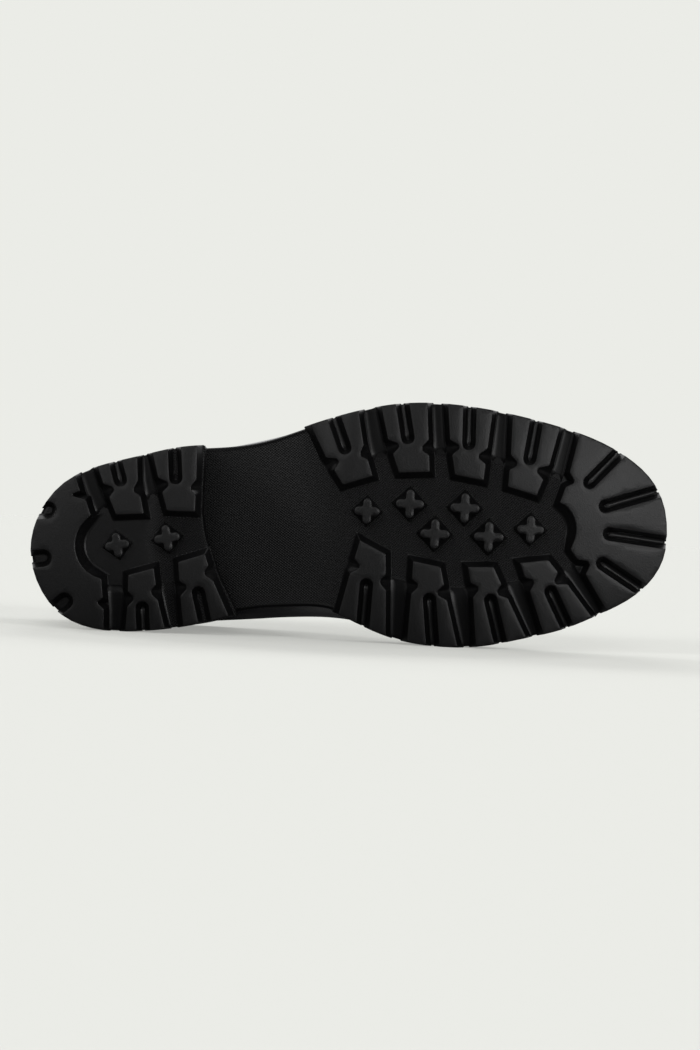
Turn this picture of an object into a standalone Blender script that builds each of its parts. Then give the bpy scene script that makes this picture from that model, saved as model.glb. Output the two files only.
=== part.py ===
"""Pull-on ankle boot for the right foot, lying on its medial side, the side of the big toe.

Every piece is worked out in the boot's own measures, in millimetres:
  along   from the back of the heel (0) towards the toe
  across  from the medial side (0), which the boot lies on, to the lateral side
  height  above the ground that the boot would stand on
One empty turns them into the world: the toe to +X, the collar to +Y, the lateral side to +Z.
"""

import math

import bmesh
import bpy
import numpy as np

# Driving dimensions, in millimetres.
LENGTH = 305.0          # sole, heel to toe
LUG_DEPTH = 5.0
LUG_DRAFT = 2.3         # a lug's foot stands this far out of its top face
OUTSOLE = 6.0           # outsole above its lugs
HEEL_HEIGHT = 24.0      # heel block with its lugs
WELT = 3.6
UPPER_WALL = 2.2
INSOLE = 2.6
GAP = 0.3               # between pieces that meet
TOE_SPRING = 10.0
ARCH_BACK = 78.0        # the waist falls from the heel seat here ...
ARCH_FRONT = 150.0      # ... to the forefoot here
SPRING_START = 212.0    # the toe lifts from here on
COLLAR_HEIGHT = 168.0
EDGE_SETBACK = 1.0      # the sole's edge stands behind the ends of its lugs
MARGIN = 14.0           # lasting margin that the upper turns in under the insole
FEATHER_BACK = 4.5      # ends of the line where the upper meets the sole
FEATHER_FRONT = 297.5
HEEL_ROUND = 0.14       # round ends of that line, as parts of its length
TOE_ROUND = 0.27

# The sole's outline from the back of the heel, along the medial side, round the toe and back.
OUTLINE = [
    (-2, 38), (3, 20), (14, 7), (30, 0.9), (48, 0.4), (66, 2.5), (84, 6.5), (104, 12), (125, 14.6),
    (142, 14.5), (158, 8.5), (176, 2.4), (196, 0.1), (216, 1.2), (236, 5.8), (255, 11.2), (272, 19),
    (286, 26.8), (296.5, 36.5), (302.3, 48), (303.3, 60), (301.2, 73), (295, 84.5), (283, 94.8),
    (266, 103.2), (246, 109), (222, 113.8), (198, 116.5), (174, 116), (150, 110.8), (128, 103.2),
    (108, 96), (88, 92.2), (68, 90), (48, 84.7), (28, 78.6), (13, 70.5), (3, 58),
]

# Heel breast, the heel's front face, from its lateral to its medial end.
BREAST = [
    (79.3, 130), (79.3, 100), (79.3, 75), (79.2, 62), (81, 50.5), (85.5, 37.5), (91.5, 24), (99, 9),
    (104, -4),
]

# Side lugs of forefoot and heel: ends of the outer edge, and the two corners of the inner end.
LUG_COLUMNS = (
    "side", "edge_back", "edge_front", "back_along", "back_across", "front_along", "front_across",
)
SIDE_LUGS = {
    "forefoot": [
        ("lateral", 128.0, 152.0, 146.5, 75.0, 160.5, 80.5),
        ("lateral", 162.0, 185.0, 172.5, 82.5, 187.5, 83.5),
        ("lateral", 194.0, 216.5, 199.5, 82.5, 213.5, 80.5),
        ("lateral", 225.5, 249.0, 225.0, 78.0, 239.5, 74.5),
        ("medial", 146.5, 170.0, 155.5, 49.5, 168.5, 43.5),
        ("medial", 180.0, 205.0, 181.5, 40.5, 195.0, 38.5),
        ("medial", 213.5, 237.5, 207.5, 39.0, 220.5, 39.5),
        ("medial", 245.5, 269.0, 232.5, 42.0, 246.5, 44.0),
    ],
    "heel": [
        ("lateral", 28.0, 46.0, 38.5, 55.5, 51.5, 57.0),
        ("lateral", 54.0, 75.5, 62.5, 59.0, 76.0, 59.0),
        ("medial", 45.0, 64.5, 45.5, 27.5, 57.5, 31.5),
        ("medial", 73.0, 95.0, 69.0, 34.5, 82.0, 39.0),
    ],
}
NOTCH = {"width": 7.0, "depth": 4.0}
NOTCH_PLACE = {"forefoot": 0.63, "heel": 0.54}      # along a lug's side, from the sole's edge
SLOT_LENGTH = {"forefoot": 0.6, "heel": 0.52}
SLOT_WIDTH = 5.8

# Toe block: its inner side round the last disc, and the slots that open to the edge.
TOE_BLOCK = [(254.5, 85.3), (257, 82.2), (253, 79.5), (250.4, 71.7)]
TOE_BLOCK_MEDIAL = [(256.7, 50), (260.3, 44.9), (266.5, 43.2), (264.5, 38)]
TOE_RING = {"centre": (243.8, 58.6), "radius": 15.0}
TOE_SLOTS = [        # mouth beyond the edge, then tip
    ((281, 100), (262.5, 80)),
    ((303, 81), (269.6, 70.2)),
    ((309, 55), (272, 58.2)),
    ((298, 29), (270, 45.3)),
]

# Heel's back block: its inner side round the first cross, and the dips in its rim.
HEEL_BLOCK = [(20.6, 65.9), (17.5, 64), (23.6, 62.3), (26.4, 54.7)]
HEEL_BLOCK_MEDIAL = [(33.5, 25.8), (37.5, 20), (34, 15.5)]
HEEL_RING = {"centre": (41.5, 40.0), "radius": 19.0}
RIM_DIPS = [(4.2, 57.5), (0.8, 32.5), (11.5, 11.0)]
RIM_DIP_RADIUS = 4.4

# Crosses between the lugs: centre, half length of an arm, turn in degrees.
CROSSES = {
    "forefoot": [
        (158.3, 63.4, 6.6, 0), (178.7, 67.8, 7.2, 0), (191.3, 54.0, 7.4, 0),
        (205.1, 67.1, 7.2, 0), (217.2, 53.8, 7.6, 0), (237.1, 58.4, 7.0, 0),
    ],
    "heel": [(39.5, 41.4, 6.2, 14), (63.2, 45.9, 6.6, 14)],
}
CROSS_ARM = 2.0

# Rings of the upper from the sole to the collar: the two ends of each ring, its half widths at six
# places along it, the length of its round ends and how far it bows sideways at the waist.
WIDTH_PLACES = {"heel": 0.12, "waist": 0.34, "instep": 0.50, "ball": 0.66, "vamp": 0.78, "toe": 0.92}
RING_COLUMNS = (
    "back", "back_height", "front", "front_height", *WIDTH_PLACES, "heel_round", "toe_round", "bow",
)
FEATHER_RING = (
    FEATHER_BACK, 0.0, FEATHER_FRONT, 0.0, 37.8, 38.9, 45.3, 52.2, 48.3, 47.6, HEEL_ROUND, TOE_ROUND, 1.0,
)
RINGS = [
    (2.0, 42.0, 299.5, 29.0, 39.6, 42.0, 46.8, 54.4, 50.8, 49.6, 0.14, 0.27, 0.90),
    (0.5, 53.0, 297.5, 40.0, 39.4, 43.2, 47.4, 53.0, 49.0, 46.5, 0.15, 0.29, 0.75),
    (0.5, 63.0, 289.0, 48.5, 38.2, 41.6, 43.8, 46.8, 43.0, 38.5, 0.17, 0.33, 0.55),
    (1.8, 73.0, 271.0, 54.5, 36.6, 38.8, 40.6, 42.0, 39.0, 32.5, 0.20, 0.38, 0.38),
    (3.5, 82.0, 247.0, 58.5, 35.0, 36.9, 38.4, 40.0, 38.6, 31.8, 0.24, 0.42, 0.24),
    (5.2, 91.0, 222.0, 63.2, 34.0, 35.3, 36.4, 38.4, 39.6, 36.0, 0.29, 0.46, 0.12),
    (6.5, 100.0, 198.0, 70.5, 33.8, 34.6, 35.4, 37.4, 40.0, 41.0, 0.34, 0.50, 0.04),
    (7.0, 110.0, 176.0, 81.0, 34.4, 34.5, 34.8, 36.4, 38.6, 41.0, 0.40, 0.50, 0.0),
    (6.5, 120.0, 157.0, 94.5, 35.6, 35.4, 35.4, 36.2, 37.6, 39.4, 0.45, 0.50, 0.0),
    (5.0, 131.0, 142.5, 111.0, 37.2, 36.8, 36.8, 37.0, 37.4, 38.2, 0.48, 0.50, 0.0),
    (3.2, 143.0, 134.0, 130.0, 39.2, 38.8, 38.6, 38.4, 38.4, 38.6, 0.50, 0.50, 0.0),
    (1.2, 155.5, 129.0, 149.5, 41.4, 41.2, 41.0, 40.8, 40.6, 40.6, 0.50, 0.50, 0.0),
    (-1.0, 167.0, 126.0, 168.0, 42.5, 42.5, 42.5, 42.5, 42.5, 42.5, 0.50, 0.50, 0.0),
]

# Elastic gores in the shaft's two sides: outline along and up, below the collar.
GORE = [(40, 180), (46, 128), (51, 101), (60, 88.5), (72, 85), (83, 90), (90, 102), (93, 128), (96, 180)]

PULL_LOOP = {"half_width": 8.0, "tape": 1.5, "foot_height": 146.0, "top_height": 184.0}


def smooth(places, values, x):
    """Smooth curve through the values at the places: cubic pieces with the neighbours' mean slopes."""
    places, values, x = np.asarray(places, float), np.asarray(values, float), np.asarray(x, float)
    slopes = np.gradient(values, places)
    i = np.clip(np.searchsorted(places, x) - 1, 0, len(places) - 2)
    span = places[i + 1] - places[i]
    t = np.clip((x - places[i]) / span, 0, 1)
    rise = values[i + 1] - values[i]
    return (
        values[i] + rise * t * t * (3 - 2 * t)
        + span * slopes[i] * t * (1 - t) ** 2 - span * slopes[i + 1] * t * t * (1 - t)
    )


def closed_curve(points, count):
    """Closed cubic curve through the points, count points long and evenly spaced."""
    p = np.array(points, float)
    n = len(p)
    step = np.linalg.norm(np.roll(p, -1, 0) - p, axis=1)
    before = np.roll(step, 1)
    system = np.zeros((n, n))
    here = np.arange(n)
    system[here, (here - 1) % n] = step
    system[here, here] = 2 * (step + before)
    system[here, (here + 1) % n] = before
    ahead = (np.roll(p, -1, 0) - p) / step[:, None]
    behind = np.roll(ahead, 1, 0)
    slope = np.linalg.solve(system, 3 * (step[:, None] * behind + before[:, None] * ahead))
    at = np.linspace(0, 1, 24, endpoint=False)[None, :, None]
    h = step[:, None, None]
    a, b = p[:, None, :], np.roll(p, -1, 0)[:, None, :]
    sa, sb = slope[:, None, :], np.roll(slope, -1, 0)[:, None, :]
    fine = a + (b - a) * at * at * (3 - 2 * at)
    fine += h * (sa * at * (1 - at) ** 2 - sb * at * at * (1 - at))
    fine = fine.reshape(-1, 2)
    fine = np.vstack([fine, fine[:1]])
    run = np.concatenate([[0], np.cumsum(np.linalg.norm(np.diff(fine, axis=0), axis=1))])
    want = np.linspace(0, run[-1], count, endpoint=False)
    return np.column_stack([np.interp(want, run, fine[:, k]) for k in (0, 1)])


def offset(polygon, distance):
    """The closed polygon moved outwards by the distance, each corner along its mitre."""
    p = np.array(polygon, float)
    edge = np.roll(p, -1, 0) - p
    edge /= np.linalg.norm(edge, axis=1)[:, None]
    normal = np.column_stack([edge[:, 1], -edge[:, 0]])
    area = np.sum(p[:, 0] * np.roll(p[:, 1], -1) - np.roll(p[:, 0], -1) * p[:, 1])
    normal *= math.copysign(1, area)
    mitre = normal + np.roll(normal, 1, 0)
    mitre /= np.maximum(1 + np.sum(normal * np.roll(normal, 1, 0), axis=1), 0.4)[:, None]
    return p + distance * mitre


def ring_stations():
    """Parts of a ring's length where it has points: close together round the heel and the toe."""
    turn = np.radians(np.linspace(0, 90, 6))
    heel = HEEL_ROUND * (1 - np.cos(turn))
    middle = np.linspace(HEEL_ROUND, 1 - TOE_ROUND, 16)[1:]
    toe = 1 - TOE_ROUND * (1 - np.sin(np.radians(np.linspace(0, 90, 8))[1:]))
    return np.concatenate([heel, middle, toe])


STATIONS = ring_stations()
CUTS = FEATHER_BACK + (FEATHER_FRONT - FEATHER_BACK) * STATIONS


def true_rise(along):
    """Lift of the sole's underside above flat ground: arch behind the ball, spring before it."""
    down = np.clip((ARCH_FRONT - along) / (ARCH_FRONT - ARCH_BACK), 0, 1)
    arch = (HEEL_HEIGHT + GAP - LUG_DEPTH) * down * down * (3 - 2 * down)
    up = np.maximum(along - SPRING_START, 0) / (LENGTH - SPRING_START)
    return arch + TOE_SPRING * up * up


def rise(along):
    """The same lift, straight between the cuts, so that faces cut there stay flat."""
    places = np.concatenate([[-20], CUTS, [LENGTH + 20]])
    return np.interp(along, places, true_rise(places))


def foot_centre(along):
    """Middle of the foot between its two sides, bowed to the lateral side at the waist."""
    places = (0, 30, 66, 104, 122, 142, 158, 176, 200, 240, 300)
    return smooth(places, (39.3, 39.9, 46, 53.4, 57.4, 60.5, 60.6, 59.2, 58.2, 58.5, 60), along)


def leg_centre(along):
    """Straight middle line from the heel to the toe, which the shaft and the instep follow."""
    return 38.5 + 0.065 * along


def ring(row, inset=0.0):
    """Points along and across of one ring, half widths rounded off at both ends, medial side first."""
    r = dict(zip(RING_COLUMNS, row))
    reach = r["front"] - r["back"]
    u = STATIONS
    places = list(WIDTH_PLACES.values())
    half = smooth(places, [r[k] for k in WIDTH_PLACES], np.clip(u, places[0], places[-1]))
    behind = np.clip(1 - u / r["heel_round"], 0, 1)
    ahead = np.clip((u - 1) / r["toe_round"] + 1, 0, 1)
    cap = np.sqrt(1 - behind ** 2) * np.sqrt(1 - ahead ** 2)
    along = r["back"] + reach * u
    across = (half - inset) * cap
    along = along + inset * (behind - ahead)
    centre = r["bow"] * foot_centre(along) + (1 - r["bow"]) * leg_centre(along)
    medial = np.column_stack([along, centre - across])
    lateral = np.column_stack([along, centre + across])
    return np.vstack([medial, lateral[-2:0:-1]])


def upper_rings():
    """Outer surface of the upper: an array of rings by points by (along, across, height)."""
    feather = ring(FEATHER_RING)
    floor = OUTSOLE + LUG_DEPTH + GAP + rise(feather[:, 0])
    rings = [np.column_stack([feather, floor]), np.column_stack([feather, floor + WELT + GAP])]
    for row in RINGS:
        r = dict(zip(RING_COLUMNS, row))
        flat = ring(row)
        part = (flat[:, 0] - r["back"]) / (r["front"] - r["back"])
        height = r["back_height"] + (r["front_height"] - r["back_height"]) * part
        rings.append(np.column_stack([flat, height]))
    return np.array(rings)


def surface_normals(rings):
    """Outward unit normals of a surface that is closed along its second index."""
    around = np.roll(rings, -1, 1) - np.roll(rings, 1, 1)
    up = np.gradient(rings, axis=0)
    normal = np.cross(up, around)
    normal /= np.linalg.norm(normal, axis=2)[:, :, None]
    middle = rings.mean(axis=1, keepdims=True)
    outward = np.sign(np.sum(normal[:, :, :2] * (rings - middle)[:, :, :2], axis=(1, 2)))
    return normal * outward[:, None, None]


def clear_scene():
    """Removes every object of the scene that the script starts in."""
    for obj in list(bpy.data.objects):
        bpy.data.objects.remove(obj, do_unlink=True)


def add_placer():
    """Empty that lays the boot on its medial side."""
    placer = bpy.data.objects.new("boot", None)
    bpy.context.scene.collection.objects.link(placer)
    placer.rotation_euler = (math.radians(-90), 0, 0)
    return placer


def centre_on_floor(placer):
    """Moves the boot until the middle of its underside is at the origin."""
    bpy.context.view_layer.update()
    corners = [obj.matrix_world @ vert.co for obj in placer.children for vert in obj.data.vertices]
    low = np.min(corners, axis=0)
    high = np.max(corners, axis=0)
    placer.location = (-(low[0] + high[0]) / 2, -(low[1] + high[1]) / 2, -low[2])


def add_material(name, colour, roughness):
    """Plain finish of one kind of piece."""
    material = bpy.data.materials.new(name)
    material.use_nodes = True
    shader = material.node_tree.nodes["Principled BSDF"]
    shader.inputs["Base Color"].default_value = (*colour, 1)
    shader.inputs["Roughness"].default_value = roughness
    shader.inputs["Metallic"].default_value = 0.0
    return material


def add_object(name, points, faces, placer=None, material=None):
    """Mesh object from points (along, across, height) in millimetres, its faces turned outwards."""
    verts = np.array(points, float)
    verts = np.column_stack([verts[:, 0], -verts[:, 1], verts[:, 2]]) / 1000
    mesh = bpy.data.meshes.new(name)
    mesh.from_pydata(verts.tolist(), [], faces)
    bm = bmesh.new()
    bm.from_mesh(mesh)
    bmesh.ops.recalc_face_normals(bm, faces=bm.faces)
    bm.to_mesh(mesh)
    bm.free()
    obj = bpy.data.objects.new(name, mesh)
    bpy.context.scene.collection.objects.link(obj)
    obj.parent = placer
    if material:
        mesh.materials.append(material)
    return obj


def add_loft(name, levels):
    """Closed solid through levels, each a polygon and a height, with the same number of corners."""
    n = len(levels[0][0])
    points = [(*p, height) for polygon, height in levels for p in polygon]
    faces = [list(range(n)), list(range((len(levels) - 1) * n, len(levels) * n))]
    for k in range(len(levels) - 1):
        for i in range(n):
            j = (i + 1) % n
            faces.append([k * n + i, k * n + j, (k + 1) * n + j, (k + 1) * n + i])
    return add_object(name, points, faces)


def apply_boolean(obj, other, operation):
    """Joins, cuts or clips obj by other, which is then removed."""
    modifier = obj.modifiers.new(operation.lower(), "BOOLEAN")
    modifier.operation = operation
    modifier.object = other
    modifier.solver = "EXACT"
    bpy.context.view_layer.update()
    seen = obj.evaluated_get(bpy.context.evaluated_depsgraph_get())
    mesh = bpy.data.meshes.new_from_object(seen)
    obj.modifiers.clear()
    obj.data = mesh
    bpy.data.objects.remove(other, do_unlink=True)


def cut_and_bend(obj, lift):
    """Cuts a flat-built piece at the stations and raises each point by lift(along, height)."""
    bm = bmesh.new()
    bm.from_mesh(obj.data)
    for cut in CUTS:
        if ARCH_BACK - 12 < cut < ARCH_FRONT + 12 or cut > SPRING_START - 12:
            whole = bm.verts[:] + bm.edges[:] + bm.faces[:]
            place = (cut / 1000, 0, 0)
            bmesh.ops.bisect_plane(bm, geom=whole, plane_co=place, plane_no=(1, 0, 0), dist=1e-6)
    for vert in bm.verts:
        vert.co.z += float(lift(vert.co.x * 1000, vert.co.z * 1000)) / 1000
    bm.to_mesh(obj.data)
    bm.free()


def finish(obj, name, placer, material):
    """Names, parents, colours and shades a finished piece."""
    obj.name = name
    obj.data.name = name
    obj.parent = placer
    obj.data.materials.clear()
    obj.data.materials.append(material)
    obj.data.shade_smooth()
    obj.data.set_sharp_from_angle(angle=math.radians(35))
    return obj


def edge_across(along, side):
    """Across measure of the sole's outline at a place along it, on one side."""
    curve = closed_curve(OUTLINE, 400)
    toe = int(np.argmax(curve[:, 0]))
    run = curve[: toe + 1] if side == "medial" else curve[toe:][::-1]
    return float(np.interp(along, run[:, 0], run[:, 1]))


def notched_side(start, end, place):
    """Side of a lug from start to end with a three-cornered notch; the lug lies on its left."""
    start, end = np.array(start, float), np.array(end, float)
    run = end - start
    length = np.linalg.norm(run)
    run /= length
    inward = np.array([-run[1], run[0]])
    middle = start + run * length * place
    half = NOTCH["width"] / 2
    return [start, middle - run * half, middle + inward * NOTCH["depth"], middle + run * half, end]


def slot(mouth, tip, width):
    """Slot from its open mouth round its rounded tip and back, mouth's far side first."""
    mouth, tip = np.array(mouth, float), np.array(tip, float)
    run = (tip - mouth) / np.linalg.norm(tip - mouth)
    aside = np.array([-run[1], run[0]]) * width / 2
    centre = tip - run * width / 2
    turn = np.radians((0, 35, 70, 110, 145, 180))
    rounded = [centre + aside * math.cos(t) + run * width / 2 * math.sin(t) for t in turn]
    return [mouth + aside * 1.1, *rounded, mouth - aside * 1.1]


def side_lug(row, zone):
    """Corners of a side lug's top face: outer edge beyond the sole, waisted sides and a slot."""
    r = dict(zip(LUG_COLUMNS, row))
    back = np.array([r["edge_back"], edge_across(r["edge_back"], r["side"])])
    front = np.array([r["edge_front"], edge_across(r["edge_front"], r["side"])])
    inner_back = np.array([r["back_along"], r["back_across"]])
    inner_front = np.array([r["front_along"], r["front_across"]])
    back_run = (back - inner_back) / np.linalg.norm(back - inner_back)
    front_run = (front - inner_front) / np.linalg.norm(front - inner_front)
    mouth = (back + front) / 2
    tip = mouth + ((inner_back + inner_front) / 2 - mouth) * SLOT_LENGTH[zone]
    beyond = 7.0
    away = (mouth - tip) / np.linalg.norm(mouth - tip)
    opening = slot(mouth + away * beyond, tip, SLOT_WIDTH)
    first, second = (back, inner_back), (inner_front, front)
    ends = [front + front_run * beyond, *opening, back + back_run * beyond]
    if r["side"] == "medial":
        first, second = (front, inner_front), (inner_back, back)
        ends = [back + back_run * beyond, *opening, front + front_run * beyond]
    place = NOTCH_PLACE[zone]
    return [*notched_side(*first, place), *notched_side(*second, 1 - place), *ends]


def add_lug(corners, draft=LUG_DRAFT, root=4.0):
    """One lug: its top face on the ground, drafted walls, and a root inside the sole."""
    foot = offset(corners, draft)
    return add_loft("lug", [(corners, 0.0), (foot, LUG_DEPTH), (foot, LUG_DEPTH + root)])


def arc(centre, radius, start, end, count):
    """Points on an arc between two points that it passes near, the short way round."""
    first = math.atan2(start[1] - centre[1], start[0] - centre[0])
    last = math.atan2(end[1] - centre[1], end[0] - centre[0])
    turn = (last - first + math.pi) % (2 * math.pi) - math.pi
    angles = [first + turn * i / (count + 1) for i in range(1, count + 1)]
    return [(centre[0] + radius * math.cos(t), centre[1] + radius * math.sin(t)) for t in angles]


def toe_block():
    """Corners of the toe block's top face, its outer side beyond the sole's tip."""
    hollow = arc(**TOE_RING, start=TOE_BLOCK[-1], end=TOE_BLOCK_MEDIAL[0], count=5)
    return [(259.5, 112), *TOE_BLOCK, *hollow, *TOE_BLOCK_MEDIAL, (281, 12), (330, 0), (330, 112)]


def heel_block():
    """Corners of the heel's back block, its outer side beyond the sole's back."""
    hollow = arc(**HEEL_RING, start=HEEL_BLOCK[-1], end=HEEL_BLOCK_MEDIAL[0], count=5)
    inner = [*HEEL_BLOCK, *hollow, *HEEL_BLOCK_MEDIAL]
    return [(14.5, 84), *inner, (35.5, -10), (-20, -10), (-20, 84)]


def add_groove(corners):
    """Cutter with drafted walls, from the top face of a block down to its foot."""
    return add_loft("groove", [
        (offset(corners, 0.2 * LUG_DRAFT), -0.2 * LUG_DEPTH),
        (offset(corners, -LUG_DRAFT), LUG_DEPTH),
    ])


def cross(along, across, arm, turn):
    """Corners of a plus sign with blunt arms."""
    t = CROSS_ARM
    quarter = np.array([(t, t), (t, arm), (-t, arm)])
    angles = [math.radians(turn + 90 * k) for k in range(4)]
    turns = [np.array([(math.cos(a), math.sin(a)), (-math.sin(a), math.cos(a))]) for a in angles]
    return np.vstack([quarter @ m for m in turns]) + (along, across)


def add_sole_prism(name, inset, low, high):
    """Upright prism of the sole's outline."""
    outline = offset(closed_curve(OUTLINE, 72), -inset)
    return add_loft(name, [(outline, low), (outline, high)])


def add_tread(zone, block, grooves):
    """All lugs of the forefoot or of the heel, each trimmed to the sole's outline."""
    end = add_lug(block)
    for corners in grooves:
        apply_boolean(end, add_groove(corners), "DIFFERENCE")
    lugs = [end, *(add_lug(side_lug(row, zone)) for row in SIDE_LUGS[zone])]
    for lug in lugs:
        apply_boolean(lug, add_sole_prism("trim", 0.0, -1.0, LUG_DEPTH + 5.0), "INTERSECT")
    studs = [add_lug(cross(*row), draft=1.2, root=1.5) for row in CROSSES[zone]]
    return [*lugs, *studs]


def build_outsole(placer, rubber):
    """Moulded outsole: a sheet of even thickness with the forefoot's lugs, bent to arch and toe spring."""
    sole = add_sole_prism("outsole", EDGE_SETBACK, LUG_DEPTH, LUG_DEPTH + OUTSOLE)
    slots = [slot(mouth, tip, SLOT_WIDTH + 0.4) for mouth, tip in TOE_SLOTS]
    for lug in add_tread("forefoot", toe_block(), slots):
        apply_boolean(sole, lug, "UNION")
    cut_and_bend(sole, lambda along, height: rise(along))
    return finish(sole, "outsole", placer, rubber)


def build_heel(placer, rubber):
    """Heel block with its own lugs, its top fitted to the outsole and its front face a curve."""
    block = add_sole_prism("heel", EDGE_SETBACK, LUG_DEPTH, HEEL_HEIGHT)
    turn = np.radians(np.arange(0, 360, 40))
    dip = RIM_DIP_RADIUS * np.column_stack([np.cos(turn), np.sin(turn)])
    dips = [dip + centre for centre in RIM_DIPS]
    for lug in add_tread("heel", heel_block(), dips):
        apply_boolean(block, lug, "UNION")
    along, across = np.array(BREAST[::-1]).T
    places = np.concatenate([np.linspace(-4, 96, 13), [130]])
    front = np.column_stack([smooth(across, along, places), places])[::-1]
    cutter = np.vstack([front, [(340, -4), (340, 130)]])
    apply_boolean(block, add_loft("breast", [(cutter, -5.0), (cutter, 40.0)]), "DIFFERENCE")
    full = HEEL_HEIGHT + GAP - LUG_DEPTH
    cut_and_bend(block, lambda along, height: rise(along) - full if height > HEEL_HEIGHT - 0.5 else 0.0)
    return finish(block, "heel", placer, rubber)


def build_welt(placer, leather):
    """Strip round the upper's foot, on top of the outsole's edge."""
    low = LUG_DEPTH + OUTSOLE + GAP
    strip = add_sole_prism("welt", EDGE_SETBACK + 0.3, low, low + WELT)
    inner = ring(FEATHER_RING, inset=-GAP)
    apply_boolean(strip, add_loft("hole", [(inner, low - 3), (inner, low + WELT + 3)]), "DIFFERENCE")
    cut_and_bend(strip, lambda along, height: rise(along))
    return finish(strip, "welt", placer, leather)


def build_insole(placer, leather):
    """Insole on the upper's turned-in margin."""
    low = LUG_DEPTH + OUTSOLE + GAP + UPPER_WALL + GAP
    outline = ring(FEATHER_RING, inset=UPPER_WALL + 0.5)
    board = add_loft("insole", [(outline, low), (outline, low + INSOLE)])
    cut_and_bend(board, lambda along, height: rise(along))
    return finish(board, "insole", placer, leather)


def upper_shell(out=0.0, wall=UPPER_WALL):
    """Points and faces of the hollow upper: up its outside, down its inside, in along the margin."""
    rings = upper_rings()
    normals = surface_normals(rings)
    inside = rings - normals * wall
    foot = ring(FEATHER_RING, inset=wall)
    turned = ring(FEATHER_RING, inset=MARGIN)
    under = LUG_DEPTH + OUTSOLE + GAP

    def level(flat, height):
        return np.column_stack([flat, height + rise(flat[:, 0])])

    inside[0] = level(foot, under + wall)
    inside[1] = level(foot, under + WELT + GAP)
    loop = [*(rings + normals * out), *inside[::-1], level(turned, under + wall), level(turned, under)]
    n = rings.shape[1]
    faces = []
    for k in range(len(loop)):
        for i in range(n):
            j, m = (i + 1) % n, (k + 1) % len(loop)
            faces.append([k * n + i, k * n + j, m * n + j, m * n + i])
    return np.vstack(loop), faces


def add_gore_prism(clearance, side):
    """Prism of a gore's outline through one side of the shaft."""
    outline = offset(GORE, clearance)
    reach = (-12, 40) if side == "medial" else (46, 100)
    points = [(along, across, height) for across in reach for along, height in outline]
    n = len(outline)
    faces = [list(range(n)), list(range(n, 2 * n))]
    faces += [[i, (i + 1) % n, n + (i + 1) % n, n + i] for i in range(n)]
    return add_object("gore_prism", points, faces)


def build_upper(placer, leather):
    """Leather upper: vamp, quarters and shaft in one wall, with an opening for a gore on each side."""
    upper = add_object("upper", *upper_shell())
    for side in ("medial", "lateral"):
        apply_boolean(upper, add_gore_prism(0.0, side), "DIFFERENCE")
    return finish(upper, "upper", placer, leather)


def build_gore(side, placer, elastic):
    """Elastic gore: the upper's own surface, thinner, inside the opening's edge."""
    gore = add_object("gore", *upper_shell(out=-0.3, wall=UPPER_WALL - 0.3))
    apply_boolean(gore, add_gore_prism(-GAP, side), "INTERSECT")
    return finish(gore, f"gore_{side}", placer, elastic)


def thick_line(points, width):
    """Closed outline of a strip of even width along a line of points."""
    line = np.array(points, float)
    run = np.gradient(line, axis=0)
    run /= np.linalg.norm(run, axis=1)[:, None]
    aside = np.column_stack([run[:, 1], -run[:, 0]]) * width / 2
    return np.vstack([line + aside, (line - aside)[::-1]])


def collar_back(aside, height):
    """Along measure of the upper's outside, this far aside from the middle of its back."""
    table = dict(zip(RING_COLUMNS, np.array(RINGS).T))
    at = {name: np.interp(height, table["back_height"], values) for name, values in table.items()}
    part = at["heel_round"] * (1 - math.sqrt(1 - (aside / at["heel"]) ** 2))
    return at["back"] + (at["front"] - at["back"]) * part


def build_pull_loop(placer, webbing):
    """Webbing loop over the back of the collar, one leg outside the upper and one inside."""
    tape, foot, top = (PULL_LOOP[key] for key in ("tape", "foot_height", "top_height"))
    outer = -GAP - tape / 2
    inner = UPPER_WALL + GAP + tape / 2 + 0.3
    belly = 1.5
    line = [
        (outer, foot), (outer, COLLAR_HEIGHT - 8), (outer - 0.3, COLLAR_HEIGHT - 2),
        (outer - belly, COLLAR_HEIGHT + 6), (outer - 0.8, top - 3.5), (outer + 1.2, top - 1),
        ((outer + inner) / 2, top - tape / 2), (inner - 1.2, top - 1), (inner + 0.8, top - 3.5),
        (inner + belly, COLLAR_HEIGHT + 6), (inner + 0.3, COLLAR_HEIGHT - 2), (inner, COLLAR_HEIGHT - 8),
        (inner, foot),
    ]
    profile = thick_line(line, tape)
    points = []
    for aside in np.linspace(-PULL_LOOP["half_width"], PULL_LOOP["half_width"], 5):
        for forward, height in profile:
            along = collar_back(aside, min(height, COLLAR_HEIGHT - 1))
            points.append((along + forward, leg_centre(along) + aside, height))
    n = len(profile)
    faces = [list(range(n)), list(range(4 * n, 5 * n))]
    for k in range(4):
        for i in range(n):
            j = (i + 1) % n
            faces.append([k * n + i, k * n + j, (k + 1) * n + j, (k + 1) * n + i])
    return finish(add_object("pull_loop", points, faces), "pull_loop", placer, webbing)


def main():
    clear_scene()
    placer = add_placer()
    rubber = add_material("black_rubber", (0.012, 0.012, 0.013), 0.5)
    leather = add_material("black_leather", (0.010, 0.010, 0.013), 0.25)
    welting = add_material("black_welt", (0.012, 0.012, 0.012), 0.5)
    board = add_material("insole_leather", (0.08, 0.06, 0.045), 0.7)
    elastic = add_material("black_elastic", (0.008, 0.008, 0.009), 0.8)
    webbing = add_material("black_webbing", (0.01, 0.01, 0.011), 0.75)
    build_outsole(placer, rubber)
    build_heel(placer, rubber)
    build_welt(placer, welting)
    build_insole(placer, board)
    build_upper(placer, leather)
    build_gore("medial", placer, elastic)
    build_gore("lateral", placer, elastic)
    build_pull_loop(placer, webbing)
    centre_on_floor(placer)


main()
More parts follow.
